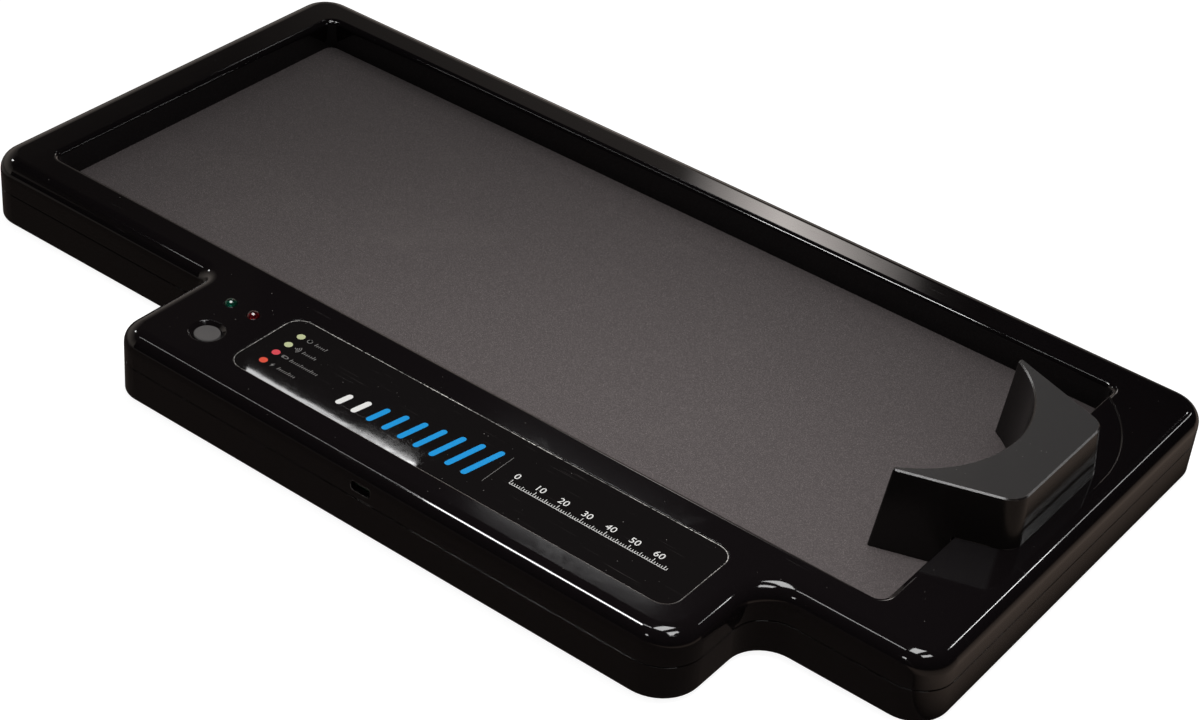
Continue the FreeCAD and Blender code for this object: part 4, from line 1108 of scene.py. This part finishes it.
# %% [markdown]
# ### Status dots and their signs
#
# Four coloured dots, each a key to what a lamp means. Beside each is a plain sign, for power, link, low
# cell or charge, and a short scale of ticks.

# %% Draw the signs
SIGN_LINE = 0.28 * MM
UPRIGHT = math.pi / 2


def power_sign(x, y):
    ring = arc_band(x, y, 0.95 * MM, SIGN_LINE, 130, 410)
    return [ring, stroke(x, y + 0.15 * MM, 0.95 * MM, SIGN_LINE, UPRIGHT)]


def link_sign(x, y):
    waves = [arc_band(x - 0.9 * MM, y, reach * MM, SIGN_LINE, -50, 50) for reach in (0.8, 1.5, 2.2)]
    return waves + [disc(x - 0.9 * MM, y, 0.28 * MM, 16)]


def low_cell_sign(x, y):
    half, tall, line = 1.15 * MM, 0.62 * MM, SIGN_LINE
    sides = [stroke(x - half, y + tall * side, half * 2, line) for side in (-1, 1)]
    ends = [stroke(x + half * side, y - tall, tall * 2, line, UPRIGHT) for side in (-1, 1)]
    nub = stroke(x + half + 0.38 * MM, y - 0.2 * MM, 0.4 * MM, line, UPRIGHT)
    fill = stroke(x - half + 0.5 * MM, y - 0.25 * MM, 0.5 * MM, line * 1.4, UPRIGHT)
    return sides + ends + [nub, fill]


def charge_sign(x, y):
    corners = [(0.35, 1.25), (-0.75, -0.15), (-0.05, -0.15), (-0.35, -1.25), (0.75, 0.2), (0.05, 0.2)]
    return [[Vector((x + across * MM, y + along * MM)) for across, along in corners]]


def tick_scale(x, y, run, pitch=0.95 * MM):
    """A row of short leaning ticks, every fifth one taller."""
    marks = []
    for index in range(int(run / pitch) + 1):
        tall = 1.5 * MM if index % 5 == 0 else 0.9 * MM
        marks.append(stroke(x + index * pitch, y - 0.75 * MM, tall, 0.30 * MM, math.radians(78), 3))
    return marks


print("signs ready")


# %% Print the status signs
DOT_X, DOT_RADIUS = -46.9 * MM, 1.6 * MM
SIGN_X, TICKS_X = DOT_X + 4.3 * MM, DOT_X + 7.2 * MM
# Each status: the height of its row and the length of its ticks in millimetres, its ink and its sign.
STATUS = {
    "power": (-79.4, 5.0, "ink_lime", power_sign),
    "link": (-86.0, 6.0, "ink_lime", link_sign),
    "low_cell": (-92.5, 12.5, "ink_pink", low_cell_sign),
    "charge": (-99.0, 8.0, "ink_orange", charge_sign),
}
for name, (row, run, colour, sign) in STATUS.items():
    y = row * MM
    printed("dot_" + name, [disc(DOT_X, y, DOT_RADIUS)], colour)
    printed("sign_" + name, sign(SIGN_X, y) + tick_scale(TICKS_X, y, run * MM), "ink_grey")


# %% [markdown]
# ### Level bars and the ruler
#
# The middle of the label carries slanted bars that rise in steps, the first two white and the rest
# blue. Its heel half carries a ruler with a tick every millimetre and a number every ten. The numbers
# are text objects turned into meshes, because text has proper digits.

# %% Print the level bars
BAR_COUNT, WHITE_BARS = 9, 2
BAR_FIRST_X, BAR_LAST_X = -11.0 * MM, 46.0 * MM
BAR_FOOT_Y = -99.0 * MM
BAR_LEAN = math.radians(80)
BAR_SHORT, BAR_TALL = 5.0 * MM, 17.0 * MM
BAR_WIDTH = 2.4 * MM
bars = []
for index in range(BAR_COUNT):
    share = index / (BAR_COUNT - 1)
    x = BAR_FIRST_X + (BAR_LAST_X - BAR_FIRST_X) * share
    bars.append(stroke(x, BAR_FOOT_Y, BAR_SHORT + (BAR_TALL - BAR_SHORT) * share, BAR_WIDTH, BAR_LEAN))
divider = stroke(53.5 * MM, -98.5 * MM, 17.3 * MM, 0.16 * MM, UPRIGHT)
printed("level_first_bars", bars[:WHITE_BARS], "ink_white")
printed("level_bars", bars[WHITE_BARS:], "ink_blue")
printed("label_divider", [divider], "ink_grey")


# %% Print the ruler
RULER_X, RULER_Y = 61.0 * MM, -93.2 * MM
RULER_RUN = 66
RULER_LINE = 0.22 * MM
DIGIT_HEIGHT, DIGITS_UP = 4.2 * MM, 3.4 * MM


def make_number(text, x, y):
    """A number as a mesh of its own, centred on x and standing on y."""
    curve = bpy.data.curves.new("number_" + text, "FONT")
    curve.body = text
    curve.size = DIGIT_HEIGHT
    curve.align_x = "CENTER"
    curve.extrude = INK / 2
    curve.resolution_u = 6
    carrier = new_object("carrier", curve)
    bpy.context.view_layer.update()
    shape = bmesh.new()
    shape.from_mesh(bpy.data.meshes.new_from_object(carrier))
    bpy.data.objects.remove(carrier)
    bmesh.ops.remove_doubles(shape, verts=shape.verts, dist=WELD)
    bmesh.ops.translate(shape, verts=shape.verts, vec=(x, y, label_high.z + INK / 2))
    new_piece("number_" + text, shape, "ink_white")


marks = [stroke(RULER_X, RULER_Y, RULER_RUN * MM, RULER_LINE)]
for step in range(RULER_RUN + 1):
    tall = 2.4 if step % 10 == 0 else 1.8 if step % 5 == 0 else 1.1
    marks.append(stroke(RULER_X + step * MM, RULER_Y, tall * MM, RULER_LINE, UPRIGHT, 3))
printed("ruler", marks, "ink_white")
for ten in range(0, RULER_RUN + 1, 10):
    make_number(str(ten), RULER_X + ten * MM, RULER_Y + DIGITS_UP)


# %% [markdown]
# ## The label's cut edge
#
# The film's knife-cut edge shows as a thin pale line all round: a ring with rounded corners, a hair
# above the film. Its paleness is partly the crazed cut and partly a painted highlight of the edge
# catching the light, brightest along the rear edge.

# %% Cut edge
def rounded_box(x_low, x_high, y_low, y_high, radius, steps, inset=0.0):
    """A rectangle with round corners, drawn in by an inset, anticlockwise from the lower right."""
    right, left = x_high - radius, x_low + radius
    front, back = y_low + radius, y_high - radius
    outline = []
    for x, y, start in ((right, front, -90), (right, back, 0), (left, back, 90), (left, front, 180)):
        outline += arc(x, y, radius - inset, start, start + 90, steps)
    return [Vector(point) for point in outline]


CUT_WIDTH, CUT_RADIUS = 0.28 * MM, 6.85 * MM
label_sides = (label_low.x, label_high.x, label_low.y, label_high.y)
outer = rounded_box(*label_sides, CUT_RADIUS, 12)
inner = rounded_box(*label_sides, CUT_RADIUS, 12, CUT_WIDTH)
levels = ((outer, 0.0), (outer, 0.05 * MM), (inner, 0.03 * MM), (inner, 0.0))
ring = bmesh.new()
skin(ring, [loop(ring, outline, label_high.z + height) for outline, height in levels], closed=True)
new_piece("label_cut_edge", ring, "cut_edge")


# %% [markdown]
# ## Screws
#
# Pan head screws hold the shells from below, so their cross recesses show underneath. One screw is made
# at the origin: its profile, with the thread as rings, is turned, and a Boolean modifier cuts a tapered
# cross out of its head. It is then copied to every place.

# %% One screw
def make_cross_cutter(head_radius, depth):
    """A tapered plus sign; its arms and their width are shares of the head's radius."""
    shape = bmesh.new()
    levels = []
    for height, scale in ((-0.2 * MM, 1.08), (depth, 0.62)):
        arm, half = head_radius * 0.56 * scale, head_radius * 0.15 * scale
        corners = [(arm, -half), (arm, half), (half, half)]
        for quarter in range(3):
            corners += [(-y, x) for x, y in corners[-3:]]
        levels.append(loop(shape, [Vector(corner) for corner in corners], height))
    shape.faces.new(list(reversed(levels[0])))
    shape.faces.new(levels[1])
    skin(shape, levels)
    bmesh.ops.triangulate(shape, faces=shape.faces)
    return finished_mesh("cross_cutter", shape)


def carved(blank, cutter):
    """The first mesh with the second cut out of it."""
    body, tool = new_object("blank", blank), new_object("tool", cutter)
    modifier = body.modifiers.new("cut", "BOOLEAN")
    modifier.operation = "DIFFERENCE"
    modifier.solver = "EXACT"
    modifier.object = tool
    ready = body.evaluated_get(bpy.context.evaluated_depsgraph_get())
    result = bpy.data.meshes.new_from_object(ready)
    for item in (body, tool):
        bpy.data.objects.remove(item)
    return result


def make_screw(head_radius, head_height, shank_radius, length, steps=28):
    """A screw with its head's face at height 0 and its shank going up."""
    pitch, root = shank_radius * 0.62, shank_radius * 0.74
    profile = [(0, 0), (head_radius * 0.62, 0.0), (head_radius * 0.86, head_height * 0.12)]
    profile += [(head_radius * 0.97, head_height * 0.38), (head_radius, head_height * 0.7)]
    profile += [(head_radius, head_height), (root, head_height)]
    height = head_height + pitch * 0.5
    while height < head_height + length - pitch * 2.2:
        profile += [(root, height), (shank_radius, height + pitch * 0.35)]
        profile += [(shank_radius, height + pitch * 0.45), (root, height + pitch * 0.8)]
        height += pitch
    profile += [(root * 0.9, head_height + length - pitch * 1.2), (0, head_height + length)]
    shape = bmesh.new()
    turned(shape, profile, (0, 0), steps)
    blank = finished_mesh("screw_blank", shape)
    return carved(blank, make_cross_cutter(head_radius, head_height * 0.62))


print("screw maker ready")


# %% Place the screws
HEAD_HEIGHT, SHANK_RADIUS = 2.2 * MM, 1.5 * MM
low, high = screw_boxes[0]
screw = make_screw((high.x - low.x) / 2, HEAD_HEIGHT, SHANK_RADIUS, high.z - low.z - HEAD_HEIGHT)
screws = copied_into(screw, screw_boxes)
new_piece("shell_screws_cut", screws, "screw_steel", "housing", "shell_screws")


# %% [markdown]
# ## Rubber feet
#
# Moulded discs, stuck to the base, with a rounded lower edge so that it doesn't catch, and a shallow
# dimple where the rubber entered its mould.

# %% Feet
def make_feet():
    low, high = foot_boxes[0]
    radius, height = (high.x - low.x) / 2, high.z - low.z
    edge, corner = 0.5 * MM, 0.1 * MM
    profile = [(0, height), (radius - corner, height), (radius, height - corner)]
    profile += arc(radius - edge, edge, edge, 0, -90, 5)
    profile += [(1.5 * MM, 0), (1.35 * MM, 0.12 * MM), (0, 0.18 * MM)]
    shape = bmesh.new()
    turned(shape, profile)
    feet = copied_into(finished_mesh("foot", shape), foot_boxes)
    new_piece("feet", feet, "foot_rubber", "housing", "rubber_feet")


make_feet()


# %% [markdown]
# ## The plug socket's mouth
#
# The socket's shell ends in lips that flare out a little to guide the plug and glint in the slot. Its
# tongue carries five gold contacts.

# %% Socket details
# Each loop of the lips: how far it is grown out of the mouth and how deep it lies, in millimetres.
LIP_LOOPS = [(-0.3, 1.6), (-0.3, 0.5), (-0.09, 0.02), (0.12, 0), (0.15, 0.12), (0.02, 0.6), (0.02, 1.6)]
MOUTH_RADIUS = 0.7 * MM
CONTACT_PITCH, CONTACT_HALF = 0.65 * MM, 0.16 * MM
TONGUE_SHARE = 0.45


def make_lips():
    mouth_sides = (socket_low.x, socket_high.x, socket_low.z, socket_high.z)
    shape = bmesh.new()
    loops = []
    for grow, depth in LIP_LOOPS:
        outline = rounded_box(*mouth_sides, MOUTH_RADIUS, 6, -grow * MM)
        y = socket_low.y + depth * MM
        loops.append([shape.verts.new((p.x, y, p.y)) for p in outline])
    skin(shape, loops, closed=True)
    new_piece("socket_lips", shape, "socket_nickel")


def make_contacts():
    centre_x = (socket_low.x + socket_high.x) / 2
    tongue_z = socket_low.z + (socket_high.z - socket_low.z) * TONGUE_SHARE
    shape = bmesh.new()
    for index in range(-2, 3):
        x = centre_x + index * CONTACT_PITCH
        outline = rounded_box(x - CONTACT_HALF, x + CONTACT_HALF, socket_low.y + 1.9 * MM,
                              socket_low.y + 4.4 * MM, 0.1 * MM, 3)
        add_prism(shape, outline, tongue_z - 0.05 * MM, tongue_z)
    new_piece("socket_contacts", shape, "contact_gold")


make_lips()
make_contacts()


# %% [markdown]
# ## Lamps for chosen parts
#
# Light linking gives a lamp a collection of objects, and it then shines on those alone. A window-like
# lamp gives each lens its sparkle, two thin strips draw a streak along the film's front edge, the glare
# on the far edge of the well misses the label, and the heel cup has a soft sheen on top and a thin line
# along its edge. A strip that lies along X in the mirror image also lies along X in the room, so the
# label's two face it straight across.

# %% Link the lamps
UP = Vector((0, 0, 1))
STREAK_Y = -107.5 * MM
STREAK_DISTANCE = 1.5


def only_on(lamp, *pieces):
    chosen = bpy.data.collections.new(lamp.name + "_receivers")
    for piece in pieces:
        chosen.objects.link(piece)
    lamp.light_linking.receiver_collection = chosen


def make_streak(name, x_low, x_high, power, width):
    """A lamp whose mirror image on the label runs from one X to another."""
    spot = Vector(((x_low + x_high) / 2, STREAK_Y, label_high.z))
    place = mirrored(spot, UP, STREAK_DISTANCE)
    length = (x_high - x_low) * (1 + STREAK_DISTANCE / (CAMERA_PLACE - spot).length)
    lamp = make_lamp(name, place, (place.x, spot.y, spot.z), power, (length, width))
    lamp.visible_diffuse = False
    only_on(lamp, nodes["label_overlay"], bpy.data.objects["label_cut_edge"])


make_streak("film_streak", -47 * MM, 32 * MM, 0.030, 0.0048)
make_streak("film_glint", 8 * MM, 31 * MM, 0.006, 0.0040)
only_on(well_glare, nodes["top_shell"])

# Each lamp of the cup: a spot on it in millimetres, its depth below the top, the spot's normal, and
# the lamp's power, size, direction and distance.
CUP_LAMPS = {
    "cup_sheen": ((190, 25, 0), UP, 2.9, (1.3, 1.3), ALONG_X, 1.5),
    "cup_line_near": ((183, -12, 0.3), (0.223, -0.641, 0.734), 2.8, (0.30, 0.16), (0.92, 0.38, 0), 1.0),
    "cup_line_tip": ((171, 62, 0.3), (-0.46, -0.50, 0.734), 0.9, (0.24, 0.16), (0.74, -0.68, 0), 1.0),
    "cup_line_rear": ((206, 25, 0.3), (0.68, 0, 0.734), 0.5, (0.30, 0.12), ALONG_Y, 1.0),
}
for name, ((x, y, below), normal, power, size, along, distance) in CUP_LAMPS.items():
    spot = Vector((x * MM, y * MM, cup_top - below * MM))
    only_on(make_line(name, spot, Vector(normal), power, size, along, distance), nodes["heel_cup"])
for lamp in on_shells:
    only_on(lamp, nodes["top_shell"], nodes["bottom_shell"])
window = make_lamp("lens_window", (-0.074, -0.09, 0.62), (-0.074, -0.082, 0.03), 10.0, (0.45, 0.45))
window.visible_diffuse = False
only_on(window, nodes["green_lamp"], nodes["red_lamp"])
